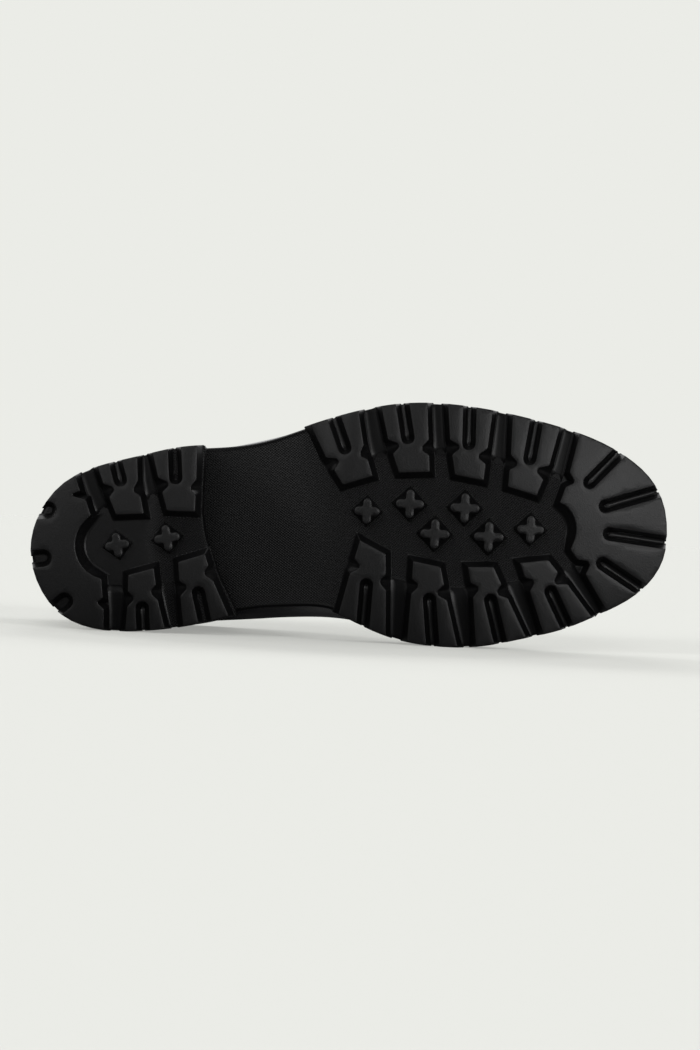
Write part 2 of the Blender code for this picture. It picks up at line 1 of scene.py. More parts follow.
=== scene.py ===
"""Looks of a pull-on ankle boot for the right foot, lying on its medial side on a pale floor.

Shapes are worked out in the boot's own measures, in millimetres:
  along   from the back of the heel (0) towards the toe
  across  from the medial side (0), which the boot lies on, to the lateral side
  height  above the ground that the boot would stand on
"""

import math

import bmesh
import bpy
import numpy as np
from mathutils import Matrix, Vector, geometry


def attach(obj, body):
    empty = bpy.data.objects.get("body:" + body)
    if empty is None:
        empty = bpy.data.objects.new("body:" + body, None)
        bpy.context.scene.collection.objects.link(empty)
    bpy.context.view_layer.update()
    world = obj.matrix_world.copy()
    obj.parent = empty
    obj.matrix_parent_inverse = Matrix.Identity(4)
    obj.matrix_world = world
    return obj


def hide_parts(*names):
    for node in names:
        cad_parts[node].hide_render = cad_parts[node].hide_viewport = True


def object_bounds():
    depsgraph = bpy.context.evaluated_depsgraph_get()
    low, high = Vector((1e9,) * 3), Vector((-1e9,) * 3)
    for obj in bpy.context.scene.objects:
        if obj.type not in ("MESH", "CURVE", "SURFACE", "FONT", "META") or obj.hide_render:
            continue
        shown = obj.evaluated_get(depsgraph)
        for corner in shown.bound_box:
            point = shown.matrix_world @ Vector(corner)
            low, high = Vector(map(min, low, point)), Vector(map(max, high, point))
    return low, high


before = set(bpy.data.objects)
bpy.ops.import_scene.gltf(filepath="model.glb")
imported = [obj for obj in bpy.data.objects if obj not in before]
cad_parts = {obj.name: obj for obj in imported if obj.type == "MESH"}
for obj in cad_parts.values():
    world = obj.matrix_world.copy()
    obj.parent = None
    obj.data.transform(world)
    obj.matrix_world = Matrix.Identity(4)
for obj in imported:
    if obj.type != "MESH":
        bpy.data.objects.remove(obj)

cad_low, cad_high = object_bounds()

# ---------------------------------------------------------------------------------------------
# OUTSOLE. One sheet of moulded black rubber, bent to the arch and the toe spring. Its lugs, slots
# and studs come out of the mould with it, and a fine knurl covers the floor between them.
# ---------------------------------------------------------------------------------------------

LOOP_BEHIND = 4.28      # the frame's box starts at the pull loop, this far behind the sole
LUG_BELOW = 0.06        # and at the lug that stands out most on the medial side
GAP = 0.3               # between neighbouring pieces
LUG_DEPTH = 5.0
OUTSOLE = 6.0
HEEL_HEIGHT = 24.0
TOE_SPRING = 10.0
ARCH_BACK = 78.0
ARCH_FRONT = 150.0
SPRING_START = 190.0
SOLE_LENGTH = 305.0
CROWN = 1.8             # the underside rounds up towards the sole's edge, over this breadth
CROWN_BREADTH = 50.0

# The sole's outline from the back of the heel, along the medial side, round the toe and back.
OUTLINE = [
    (-2, 38), (3, 20), (14, 7), (30, 0.9), (48, 0.4), (66, 2.5), (84, 6.5), (104, 12), (125, 14.6),
    (142, 14.5), (158, 8.5), (176, 2.4), (196, 0.1), (216, 1.2), (236, 5.8), (255, 11.2), (272, 19),
    (286, 26.8), (296.5, 36.5), (302.3, 48), (303.3, 60), (301.2, 73), (295, 84.5), (283, 94.8),
    (266, 103.2), (246, 109), (222, 113.8), (198, 116.5), (174, 116), (150, 110.8), (128, 103.2),
    (108, 96), (88, 92.2), (68, 90), (48, 84.7), (28, 78.6), (13, 70.5), (3, 58),
]

# Side lugs: for the back side and then the front side, along at the edge, the corner where the leg
# ends, the corner at the inner end, and the depth of the notch between them. Then the slot's mouth
# (along at the edge) and its tip.
SIDE_LUGS = [
    ("lateral", (129.0, 137.4, 87.9, 146.2, 75.3, 4.2), (152.0, 155.3, 94.9, 160.3, 80.3, 2.6),
     (140.3, 147.4, 90.2)),
    ("lateral", (162.6, 166.7, 97.9, 172.7, 82.4, 4.0), (184.8, 186.3, 98.8, 187.5, 83.5, 3.2),
     (172.8, 176.8, 96.4)),
    ("lateral", (194.6, 196.3, 99.3, 199.5, 82.7, 3.9), (216.4, 214.7, 95.9, 213.5, 80.5, 3.7),
     (205.2, 205.6, 94.9)),
    ("lateral", (225.9, 225.8, 93.5, 225.1, 78.2, 3.4), (249.1, 244.7, 89.2, 239.2, 74.5, 4.4),
     (237.7, 234.7, 89.2)),
    ("medial", (146.8, 151.5, 33.4, 155.6, 49.4, 3.4), (170.2, 169.2, 26.1, 168.3, 43.3, 2.6),
     (158.9, 159.8, 31.2)),
    ("medial", (180.3, 181.2, 24.8, 181.4, 40.6, 2.9), (204.9, 198.6, 22.7, 194.9, 38.4, 3.8),
     (192.9, 189.8, 25.6)),
    ("medial", (213.5, 210.9, 24.3, 207.8, 39.0, 3.2), (237.7, 227.7, 25.1, 220.3, 39.6, 3.4),
     (225.4, 218.7, 26.5)),
    ("medial", (245.8, 238.1, 28.5, 232.6, 42.1, 3.2), (269.0, 256.1, 33.2, 246.4, 44.2, 4.2),
     (257.2, 246.8, 31.7)),
]
# Along a lug's side: where the notch's blunt bottom starts and ends, and its far lip.
NOTCH_RUN = (3.1, 4.9, 7.1)
NOTCH_LEFT = 0.06       # of a notch's depth, at the wall's foot: the notch slopes out down the wall,
NOTCH_SLOPE = (0.4, 4.4)        # from this height above the lug's top and over this much of it
LUG_CORNER = 0.7        # radius at a lug's corners,
SHORT_SIDE = 0.45       # and at most this part of the shorter side there
SLOT_WIDTH = 6.2
SLOT_SPREAD = 0.86      # a slot's walls are steeper than the lugs' other walls
LEAST_SLANT = 0.5       # sine of the smallest angle at which a slot counts as meeting the edge

# Toe block: its inner side from the lateral edge round the last stud to the medial edge, and slots.
MID_SOLE = 150.0        # the block at the toe lies in front of this, and the heel's behind it
TOE_EDGES = [(258.6, 105.4), (275.4, 21.4)]
TOE_SIDE = [(254.5, 86.5), (256.7, 83.0), (256.8, 81.6), (252.9, 79.5), (250.4, 71.7)]
TOE_SIDE_MEDIAL = [(256.7, 49.5), (260.3, 44.9), (265.2, 44.5), (266.4, 42.5), (264.5, 37.9)]
TOE_RING = ((243.8, 58.6), 15.2)
ARC_SPREAD = 1.6        # the block's arc has a flatter wall than its other sides
TOE_SLOTS = [
    ((278.6, 97.4), (262.4, 80.0)), ((297.4, 79.4), (269.6, 70.2)),
    ((303.0, 55.2), (272.1, 58.4)), ((292.0, 32.3), (269.9, 45.3)),
]

# Studs between the lugs: centre, half diagonal of the diamond foot, turn in degrees.
STUDS = [
    (158.3, 63.4, 7.7, 0), (178.7, 67.8, 8.6, 0), (191.3, 54.0, 8.9, 0), (205.1, 67.1, 8.9, 0),
    (217.2, 53.8, 9.1, 0), (237.1, 58.3, 8.2, 0),
]
STUD_ARM = 2.05         # half width of a stud's rounded arms
STUD_REACH = 0.80       # an arm's reach, as part of the half diagonal
STUD_HEIGHTS = (0.0, 0.06, 0.25, 0.75, 4.75, 4.97, 5.1, 6.5)
STUD_EASE = 0.3         # rounding of its top edge and of the corners between its arms
# Points on an arm's side: halfway from this place to its reach, and this far past the corner.
STUD_NECK = (1.0, 0.8)
STUD_WALL = (0.1, 0.95)         # parts of the way from its top to its foot, at the wall's two ends
STUD_ROOT = 1.04        # how much wider than its foot it ends inside the sheet
# Places along a quarter of the diamond's side, closer where the arm's round tip is.
STUD_PLACES = (0, 0.02, 0.04, 0.07, 0.11, 0.16, 0.22, 0.3, 0.4, 0.5)

# A lug's wall from its top face to its root inside the sheet: how far it stands out at walls and at
# the sole's own edge, and the height.
LUG_WALL = [
    (-0.40, -0.60, 0.00), (-0.18, -0.28, 0.05), (-0.04, -0.08, 0.18), (0.04, 0.0, 0.42),
    (0.62, 0.04, 1.50), (1.72, 0.06, 3.45), (2.24, 0.08, 4.35), (2.42, 0.08, 4.70), (2.66, 0.08, 4.90),
    (2.95, 0.08, 4.99), (3.10, 0.08, 5.25), (3.10, 0.04, 8.40), (3.05, -0.25, 8.95), (2.98, -1.60, 9.40),
]
# A wall follows the falling floor in full between the middle two of these heights.
WALL_FOLLOWS = (1.5, 4.4, 5.3, 8.4)


def smooth(places, values, x):
    """Smooth curve through the values at the places: cubic pieces with the neighbours' mean slopes."""
    places, values, x = np.asarray(places, float), np.asarray(values, float), np.asarray(x, float)
    slopes = np.gradient(values, places, axis=0)
    i = np.clip(np.searchsorted(places, x) - 1, 0, len(places) - 2)
    shape = x.shape + (1,) * (values.ndim - 1)
    span = (places[i + 1] - places[i]).reshape(shape)
    t = np.clip((x - places[i]).reshape(shape) / span, 0, 1)
    return (
        values[i] + (values[i + 1] - values[i]) * t * t * (3 - 2 * t)
        + span * slopes[i] * t * (1 - t) ** 2 - span * slopes[i + 1] * t * t * (1 - t)
    )


def step(low, high, x):
    """Soft step: 0 below low, 1 above high, and 3t^2 - 2t^3 between."""
    t = np.clip((x - low) / (high - low), 0, 1)
    return t * t * (3 - 2 * t)


def unit(vectors):
    """Vectors brought to length 1."""
    return vectors / np.linalg.norm(vectors, axis=-1, keepdims=True)


def run_along(line):
    """Distance along a line at each of its points, from 0."""
    return np.concatenate([[0], np.cumsum(np.linalg.norm(np.diff(line, axis=0), axis=1))])


def read_line(places, run, line):
    """Points of a line at these places, where run is the place of each of its own points."""
    return np.column_stack([np.interp(places, run, column) for column in np.asarray(line).T])


CURVE_STEPS = 24        # fine points of a curve between two given ones


def closed_curve(points, count):
    """Closed cubic spline through the points, read at count evenly spaced places."""
    p = np.array(points, float)
    n = len(p)
    ahead_step = np.linalg.norm(np.roll(p, -1, 0) - p, axis=1)
    before = np.roll(ahead_step, 1)
    system = np.zeros((n, n))
    here = np.arange(n)
    system[here, (here - 1) % n] = ahead_step
    system[here, here] = 2 * (ahead_step + before)
    system[here, (here + 1) % n] = before
    ahead = (np.roll(p, -1, 0) - p) / ahead_step[:, None]
    bend = 3 * (ahead_step[:, None] * np.roll(ahead, 1, 0) + before[:, None] * ahead)
    slope = np.linalg.solve(system, bend)
    at = np.linspace(0, 1, CURVE_STEPS, endpoint=False)[None, :, None]
    h = ahead_step[:, None, None]
    a, b = p[:, None, :], np.roll(p, -1, 0)[:, None, :]
    sa, sb = slope[:, None, :], np.roll(slope, -1, 0)[:, None, :]
    fine = a + (b - a) * at * at * (3 - 2 * at) + h * (sa * at * (1 - at) ** 2 - sb * at * at * (1 - at))
    fine = fine.reshape(-1, 2)
    fine = np.vstack([fine, fine[:1]])
    run = run_along(fine)
    return read_line(np.linspace(0, run[-1], count, endpoint=False), run, fine)


EDGE = closed_curve(OUTLINE, 1440)
EDGE_LOOP = np.vstack([EDGE, EDGE[:1]])
EDGE_RUN = run_along(EDGE_LOOP)


def rise(along):
    """Lift of the sole's underside above flat ground: a soft step up to the heel, a parabola to the toe."""
    arch = (HEEL_HEIGHT + GAP - LUG_DEPTH) * (1 - step(ARCH_BACK, ARCH_FRONT, along))
    spring = np.maximum(along - SPRING_START, 0) / (SOLE_LENGTH - SPRING_START)
    return arch + TOE_SPRING * spring * spring


def from_edge(points):
    """Distance of each point from the sole's edge, seen square on, worked out a batch at a time."""
    near = []
    for batch in np.array_split(points, 60):
        near.append(np.linalg.norm(batch[:, None, :2] - EDGE[::4], axis=2).min(axis=1))
    return np.concatenate(near)


def crown(points):
    """Rounding of the underside: the cube of the nearness to the sole's edge, less with height."""
    share = np.clip(1 - from_edge(points) / CROWN_BREADTH, 0, 1)
    return CROWN * share ** 3 * np.clip(1 - points[:, 2] / (LUG_DEPTH + OUTSOLE), 0, 1)


def to_world(points):
    """Boot measures in millimetres to the frame's metres: toe to +X, lateral side up, collar to +Y."""
    p = np.asarray(points, float)
    x = cad_low.x + (p[:, 0] + LOOP_BEHIND) / 1000
    y = cad_low.y + p[:, 2] / 1000
    z = cad_low.z + (p[:, 1] - LUG_BELOW) / 1000
    return np.column_stack([x, y, z])


def on_edge(run):
    """Points of the sole's edge at these distances along it."""
    return read_line(np.mod(run, EDGE_RUN[-1]), EDGE_RUN, EDGE_LOOP)


def edge_run(along, side):
    """Distance along the sole's edge of the place with this along measure, on one side."""
    toe = int(np.argmax(EDGE[:, 0]))
    back = int(np.argmin(EDGE[:, 0]))
    order = np.arange(back, back + len(EDGE)) % len(EDGE)
    split = int(np.where(order == toe)[0][0])
    part = order[: split + 1] if side == "medial" else order[split:][::-1]
    runs = EDGE_RUN[part] + np.where(part < back, EDGE_RUN[-1], 0)
    return float(np.interp(along, EDGE[part, 0], runs))


def nearest_run(point):
    """Distance along the sole's edge of its point nearest to this one."""
    return float(EDGE_RUN[int(np.argmin(np.linalg.norm(EDGE - point, axis=1)))])


def notched_side(leg, corner, depth, inward):
    """Side of a lug from its leg to its inner corner, with a blunt notch set in from the leg's end."""
    leg, corner = np.array(leg, float), np.array(corner, float)
    run = unit(corner - leg)
    aside = np.array([-run[1], run[0]])
    aside *= math.copysign(1, aside @ inward)
    start, end, lip = NOTCH_RUN
    return [leg, leg + run * start + aside * depth, leg + run * end + aside * depth, leg + run * lip, corner]


def slot_round(mouth, tip, width):
    """Slot from the mouth round its tip and back: an arc of half the width at the tip."""
    mouth, tip = np.array(mouth, float), np.array(tip, float)
    run = unit(tip - mouth)
    aside = np.array([-run[1], run[0]]) * width / 2
    centre = tip - run * width / 2
    turn = np.radians(np.linspace(0, 180, 9))
    return [centre + aside * math.cos(t) + run * width / 2 * math.sin(t) for t in turn]


def edge_stretch(first, last, spacing=5.0):
    """Points of the sole's edge from one distance along it to another, both ends included."""
    count = max(3, int(abs(last - first) / spacing) + 1)
    return list(on_edge(np.linspace(first, last, count)))


def with_slots(first, last, slots, width=SLOT_WIDTH):
    """The sole's edge from first to last, cut by slots: corners, and each side's spread, 0 on the edge."""
    corners, walls = [], []
    way = 1 if last > first else -1
    at = first
    for mouth_run, tip in slots:
        mouth = on_edge([mouth_run])[0]
        tangent = unit(on_edge([mouth_run + 1])[0] - on_edge([mouth_run - 1])[0])
        run = unit(tip - mouth)
        half = width / 2 / max(abs(tangent[0] * run[1] - tangent[1] * run[0]), LEAST_SLANT)
        piece = edge_stretch(at, mouth_run - way * half)
        corners += piece
        walls += [0] * (len(piece) - 1) + [SLOT_SPREAD]
        round_tip = slot_round(mouth, tip, width)
        if (round_tip[0] - round_tip[-1]) @ (way * tangent) > 0:
            round_tip = round_tip[::-1]
        corners += round_tip
        walls += [SLOT_SPREAD] * len(round_tip)
        at = mouth_run + way * half
    piece = edge_stretch(at, last)
    corners += piece
    walls += [0] * (len(piece) - 1) + [1]
    return corners, walls


def side_lug(row):
    """A side lug's corners at its top and at its foot, without notches, and each side's spread."""
    side, back, front, slot = row
    first, last = edge_run(back[0], side), edge_run(front[0], side)
    inward = np.array([1.0, 0.0])
    stretch, walls = with_slots(last, first, [(edge_run(slot[0], side), np.array(slot[1:], float))])
    shapes = []
    for part in (1, NOTCH_LEFT):
        back_side = notched_side(back[1:3], back[3:5], part * back[5], inward)
        front_side = notched_side(front[1:3], front[3:5], part * front[5], -inward)
        shapes.append(back_side + front_side[::-1] + stretch)
    spread = [1.0] * (len(shapes[0]) - len(stretch)) + walls
    return np.array(shapes[0]), np.array(shapes[1]), np.array(spread, float)


NEARLY_STRAIGHT = 0.05  # sine of the turn at a corner


def grow(corners, spread, wall_out, rim_out):
    """The polygon at each level: a side moves out by its spread times the wall's measure.

    Sides without a spread lie on the sole's edge and move by the rim's measure. Nearly straight
    corners move along the mean of the two normals, the others to where the moved sides meet.
    """
    edge = unit(np.roll(corners, -1, 0) - corners)
    area = np.sum(corners[:, 0] * np.roll(corners[:, 1], -1) - np.roll(corners[:, 0], -1) * corners[:, 1])
    normal = np.column_stack([edge[:, 1], -edge[:, 0]]) * math.copysign(1, area)
    before = np.roll(normal, 1, 0)
    out = np.where(spread[None, :] > 0, spread[None, :] * wall_out[:, None], rim_out[:, None])
    out_before = np.roll(out, 1, 1)
    det = before[:, 0] * normal[:, 1] - before[:, 1] * normal[:, 0]
    straight = np.abs(det) < NEARLY_STRAIGHT
    safe = np.where(straight, 1, det)
    x = (out_before * normal[:, 1] - out * before[:, 1]) / safe
    y = (out * before[:, 0] - out_before * normal[:, 0]) / safe
    mean = (before + normal) / np.maximum(np.linalg.norm(before + normal, axis=1), 1e-6)[:, None]
    level = (out + out_before) / 2
    x = np.where(straight, mean[:, 0] * level, x)
    y = np.where(straight, mean[:, 1] * level, y)
    return corners[None] + np.stack([x, y], axis=2)


def round_corners(polygons, radius, count=5):
    """Each corner of the polygons swapped for a parabola between points on its two sides."""
    before = np.roll(polygons, 1, 1) - polygons
    after = np.roll(polygons, -1, 1) - polygons
    long_before = np.linalg.norm(before, axis=2, keepdims=True)
    long_after = np.linalg.norm(after, axis=2, keepdims=True)
    reach = np.minimum(radius, SHORT_SIDE * np.minimum(long_before, long_after))
    start = polygons + before / long_before * reach
    end = polygons + after / long_after * reach
    t = np.linspace(0, 1, count)[None, None, :, None]
    arc = start[:, :, None] * (1 - t) ** 2 + polygons[:, :, None] * 2 * t * (1 - t) + end[:, :, None] * t * t
    return arc.reshape(len(polygons), -1, 2)


def tube_faces(levels, count):
    """Quads between closed rings of count points, as an array of corner numbers."""
    i = np.arange(count)
    j = (i + 1) % count
    k = np.arange(levels - 1)[:, None] * count
    return np.stack([k + i, k + j, k + count + j, k + count + i], axis=2).reshape(-1, 4)


CLEAR_OF_RING = 0.45    # no grid point lies nearer to the ring, as part of the spacing


def fill(ring, spacing):
    """Triangles over a closed ring with a grid of points inside it, as points and corner numbers."""
    low, high = ring.min(axis=0), ring.max(axis=0)
    lines = [np.arange(low[k], high[k], spacing) for k in (0, 1)]
    grid = np.stack(np.meshgrid(*lines), axis=2).reshape(-1, 1, 2)
    a, b = ring[None], np.roll(ring, -1, 0)[None]
    crosses = (a[..., 1] > grid[..., 1]) != (b[..., 1] > grid[..., 1])
    rise_of = np.where(a[..., 1] == b[..., 1], 1, b[..., 1] - a[..., 1])
    at = a[..., 0] + (grid[..., 1] - a[..., 1]) * (b[..., 0] - a[..., 0]) / rise_of
    inside = np.sum(crosses & (grid[..., 0] < at), axis=1) % 2 == 1
    side = b - a
    part = np.clip(np.sum((grid - a) * side, axis=2) / np.maximum(np.sum(side * side, axis=2), 1e-9), 0, 1)
    near = np.linalg.norm(grid - a - side * part[..., None], axis=2).min(axis=1)
    points = np.vstack([ring, grid[inside & (near > CLEAR_OF_RING * spacing), 0]])
    faces = geometry.delaunay_2d_cdt([tuple(p) for p in points], [], [list(range(len(ring)))], 1, 1e-7)
    return np.array([(v.x, v.y) for v in faces[0]]), [list(f) for f in faces[2]]


def solid_of(rings, heights, spacing=2.2, bent=False):
    """Closed solid through rings at their heights: first face filled, last a fan, or filled if bent later."""
    levels, count = rings.shape[:2]
    points = [np.column_stack([rings.reshape(-1, 2), np.repeat(heights, count)])]
    faces = tube_faces(levels, count).tolist()
    start = levels * count
    flat, cap = fill(rings[0], spacing)
    points.append(np.column_stack([flat, np.full(len(flat), heights[0])]))
    faces += [[start + i for i in face] for face in cap]
    if bent:
        flat, cap = fill(rings[-1], spacing)
        faces += [[start + len(points[1]) + i for i in face] for face in cap]
        points.append(np.column_stack([flat, np.full(len(flat), heights[-1])]))
        return np.vstack(points), faces
    points.append([(*rings[-1].mean(axis=0), heights[-1])])
    last = start - count
    faces += [[last + i, last + (i + 1) % count, start + len(flat)] for i in range(count)]
    return np.vstack(points), faces


def lug(top, foot, spread, drop):
    """A lug with its top face on the ground and drafted walls that run on down to the falling floor."""
    wall_out, rim_out, heights = np.array(LUG_WALL).T
    start, length = NOTCH_SLOPE
    share = np.clip((heights - start) / length, 0, 1)[:, None, None]
    rings = grow(top, spread, wall_out, rim_out) * (1 - share) + grow(foot, spread, wall_out, rim_out) * share
    points, faces = solid_of(round_corners(rings, LUG_CORNER), heights)
    low, full, still, high = WALL_FOLLOWS
    height = points[:, 2]
    points[:, 2] += fall(points, drop) * step(low, full, height) * (1 - step(still, high, height))
    return points, faces


def stud(along, across, half, turn):
    """A stud: a plus sign with round arms on top of a diamond, straight walls between the two."""
    arm = STUD_REACH * half
    bend = np.radians(np.linspace(90, 0, 7))
    tip = np.column_stack([STUD_ARM * np.cos(bend), arm - STUD_ARM + STUD_ARM * np.sin(bend)])
    corner = STUD_ARM + STUD_EASE
    inner, past_corner = STUD_NECK
    neck = [(STUD_ARM, (arm + inner) / 2), (STUD_ARM, STUD_ARM + past_corner), (corner, corner)]
    top = np.vstack([tip, neck])
    part = np.array(STUD_PLACES)
    foot = np.column_stack([half * part, half * (1 - part)])
    eighth = np.stack([top, foot])
    mirrored = eighth[:, ::-1, ::-1]
    quarter = np.concatenate([eighth, mirrored[:, 1:-1]], axis=1)
    angles = np.radians(turn + 90 * np.arange(4))
    cos, sin = np.cos(angles), np.sin(angles)
    turns = np.stack([cos, sin, -sin, cos], axis=1).reshape(4, 2, 2)
    top, foot = np.concatenate([quarter @ m for m in turns[::-1]], axis=1)
    inward = 1 - STUD_EASE / np.maximum(np.linalg.norm(top, axis=1, keepdims=True), 0.5)
    rounded = [top * inward, top * (1 + inward) / 2, top]
    straight = [top + part * (foot - top) for part in STUD_WALL]
    wall = [*rounded, *straight, foot, foot * STUD_ROOT, foot * STUD_ROOT]
    return solid_of(np.stack(wall) + (along, across), np.array(STUD_HEIGHTS), 1.4)


# The sheet's underside between its spine and its edge: distances from the edge, then parts of the rest.
FLOOR_DISTANCES = [1.6, 2.4, 3.4, 5.0, 7.0, 9.5, 12.0, 14.5, 17.0, 19.5, 22.0, 24.6, 25.4, 28.6, 29.4]
FLOOR_PARTS = [0.25, 0.5, 0.75, 1.0]
SPINE = (46.0, 248.0)
CHANNELS_FROM = (146.0, 158.0)  # the waist ends and the forefoot's channels start between these
CHANNEL_DROP = 2.4      # how far the channels' floor falls away at the sole's edge,
CHANNEL_LENGTH = 25.0   # from this far inside it,
FALL_POWER = 1.3        # by this power of the nearness to the edge
SMOOTH = {"medial": 29.0, "lateral": 25.0}      # how far in from the edge the floor has no knurl
PLAIN_RIM = 2.4         # and the same along the waist
# The side's first rows at a channel and along the waist: in from the edge, and up from the floor.
CHANNEL_SIDE = [(0.8, 0.12), (0.45, 0.5), (0.3, 1.6)]
PLAIN_SIDE = [(1.6, 0.05), (1.25, 0.22), (1.1, 0.6)]
SHEET_SIDE = [(1.1, 9.3), (1.1, 10.5), (1.2, 10.85), (1.5, 11.0), (20.0, 11.0)]


def fan(pole, angles, outline):
    """Where rays from the pole at these angles meet the outline round it."""
    reach = outline - pole
    turn = np.arctan2(reach[:, 1], reach[:, 0])
    order = np.argsort(turn)
    turn, far = turn[order], np.linalg.norm(reach, axis=1)[order]
    radius = np.interp(angles, turn, far, period=2 * math.pi)
    return pole + np.column_stack([np.cos(angles), np.sin(angles)]) * radius[:, None]


def side_at(along, side):
    """Across measure of the sole's edge at these places along it, on one side."""
    toe = int(np.argmax(EDGE[:, 0]))
    part = EDGE[: toe + 1] if side == "medial" else EDGE[toe:][::-1]
    return np.interp(along, part[:, 0], part[:, 1])


def sheet_stations():
    """The sheet's edge and, for each point on it, the point of the spine that it looks at."""
    along = np.linspace(*SPINE, 110)
    medial = np.column_stack([along, side_at(along, "medial")])
    lateral = np.column_stack([along, side_at(along, "lateral")])
    middle = np.column_stack([along, (medial[:, 1] + lateral[:, 1]) / 2])
    turn = np.radians(np.linspace(-90, 90, 72))[1:-1]
    toe = fan(middle[-1], turn, EDGE)
    heel = fan(middle[0], turn + math.pi, EDGE)
    edge = np.vstack([medial, toe, lateral[::-1], heel])
    front_pole, back_pole = np.tile(middle[-1], (len(toe), 1)), np.tile(middle[0], (len(heel), 1))
    return edge, np.vstack([middle, front_pole, middle[::-1], back_pole])


def sheet_rows(edge, spine, side_rows, top_rows):
    """Closed surface carried round the edge: the floor from the spine out, the side, and the top back."""
    reach = np.linalg.norm(spine - edge, axis=1)
    inward = (spine - edge) / reach[:, None]
    rows = []
    for part in FLOOR_PARTS[::-1]:
        rows.append(FLOOR_DISTANCES[-1] + part * (reach - FLOOR_DISTANCES[-1]))
    rows += [np.full(len(edge), d) for d in FLOOR_DISTANCES[::-1]]
    points = []
    for distance in rows:
        flat = edge + inward * distance[:, None]
        points.append(np.column_stack([flat, LUG_DEPTH + fall(flat, CHANNEL_DROP)]))
    for distance, height in side_rows + top_rows:
        flat = edge + inward * distance
        points.append(np.column_stack([flat, height + 0 * flat[:, 0]]))
    points.append(np.column_stack([spine, top_rows[-1][1] + 0 * spine[:, 0]]))
    return np.stack(points)


def channels(along):
    """1 where lugs stand along the forefoot's edge, 0 along the waist."""
    return step(*CHANNELS_FROM, along)


def fall(points, most):
    """How far the floor falls away: nothing inside, the most at the sole's edge, nothing in the waist."""
    share = channels(points[:, 0]) if most == CHANNEL_DROP else 1
    return most * np.clip(1 - from_edge(points) / CHANNEL_LENGTH, 0, 1) ** FALL_POWER * share


# A bed is the hollow floor of a channel or a slot, let into the sheet: places across it, distances in
# from the sole's edge, and how the bed turns down there with the sheet.
BED_ACROSS = np.array([0, 0.04, 0.09, 0.15, 0.23, 0.35, 0.5, 0.65, 0.77, 0.85, 0.91, 0.96, 1])
BED_ROWS = [0.4, 0.8, 1.6, 2.4, 3.4, 5.0, 7.0, 9.5, 12.0, 15.0, 18.0, 21.0, 24.0, 27.0]
BED_TURN = [(0.3, 0.45, 0.8, 1.6), (1.6, 0.5, 0.12, 0.0)]
BED_UP = 0.04           # how far its lowest line stands out of the sheet
BED_SINK = 0.1          # how much deeper its inner end goes, under the sheet,
BED_END = 5.0           # over this length
BED_THICK = 1.2
CHANNEL_HOLLOW = (0.75, 4)      # how far a bed's sides rise, and the power of the rise
SLOT_HOLLOW = (0.9, 2)
WALL_FOOT = 2.2         # a channel's bed starts this far out from the lugs' top corners
SLOT_BED = (1.5, 1.7)   # half width of a slot's bed, and how far it stops short of the tip
LIT_STRIP = (0.14, 0.30)        # a bed turns from glossy, its strip of painted highlight, to dull, its painted shade, between these places across it


def capped_tube(rings):
    """Closed solid through rings of equally many points: quads between them, a face over each end."""
    levels, count = rings.shape[:2]
    faces = tube_faces(levels, count).tolist()
    faces.append(list(range(count))[::-1])
    faces.append([(levels - 1) * count + i for i in range(count)])
    return rings.reshape(-1, 3), faces


def bed(left, right, length, drop, hollow, power):
    """Bed between two lines: its sides rise with a power of the nearness to them, less at its inner end."""
    distances = np.array([row for row in BED_ROWS if row < length - 1] + [length])
    sides = [read_line(distances, run_along(line), line) for line in (left, right)]
    flat = sides[0][:, None] * (1 - BED_ACROSS[:, None]) + sides[1][:, None] * BED_ACROSS[:, None]
    end = step(length - BED_END, length, distances)[:, None]
    up = BED_UP - BED_SINK * end + hollow * np.abs(2 * BED_ACROSS - 1) ** power * (1 - end)
    flat = flat.reshape(-1, 2)
    height = LUG_DEPTH + fall(flat, drop) + np.interp(from_edge(flat), *BED_TURN) - up.ravel()
    top = np.column_stack([flat, height]).reshape(len(distances), -1, 3)
    return capped_tube(np.concatenate([top, top[:, ::-1] + (0, 0, BED_THICK)], axis=1))


def wall_line(side, at, leg, corner, out):
    """Line along a lug's wall from the sole's edge to its inner corner, moved out along the boot."""
    edge_point = on_edge([edge_run(at, side)])[0]
    return np.array([edge_point, leg, corner]) + (out, 0)


def channel_beds(lugs, ends, drop, length):
    """Beds of the channels on both sides: between neighbouring lugs, and to the block at the end."""
    beds = []
    for side in ("lateral", "medial"):
        rows = [row for row in lugs if row[0] == side]
        backs, fronts = [[(row[k][0], row[k][1:3], row[k][3:5]) for row in rows] for k in (1, 2)]
        if ends[side][0] > rows[0][1][0]:
            backs = [*backs[1:], ends[side]]
        else:
            fronts = [ends[side], *fronts[:-1]]
        for front, back in zip(fronts, backs):
            lines = wall_line(side, *front, WALL_FOOT), wall_line(side, *back, -WALL_FOOT)
            beds.append(bed(*lines, length[side], drop, *CHANNEL_HOLLOW))
    return beds


def slot_bed(mouth, tip, drop):
    """Bed of a slot, from its mouth to short of its tip."""
    half, short = SLOT_BED
    run = unit(tip - mouth)
    aside = half * np.array([run[1], -run[0]])
    aside *= math.copysign(1, aside[0])
    lines = [(mouth - aside, tip - aside), (mouth + aside, tip + aside)]
    return bed(*lines, np.linalg.norm(tip - mouth) - short, drop, *SLOT_HOLLOW)


def side_slots(lugs):
    """Mouth and tip of the slot in each side lug."""
    return [(on_edge([edge_run(slot[0], side)])[0], np.array(slot[1:])) for side, _, _, slot in lugs]


def painted_shade_of(count, beds):
    """Painted shade of each of count points, as a duller specular: 0 before the beds, and on them 1 but for a
    strip on their left, kept glossy as a painted highlight.
    """
    ring = np.concatenate([BED_ACROSS, BED_ACROSS[::-1]])
    values = [np.tile(step(*LIT_STRIP, ring), len(solid[0]) // len(ring)) for solid in beds]
    before = count - sum(map(len, values))
    return np.concatenate([np.zeros(before), *values])


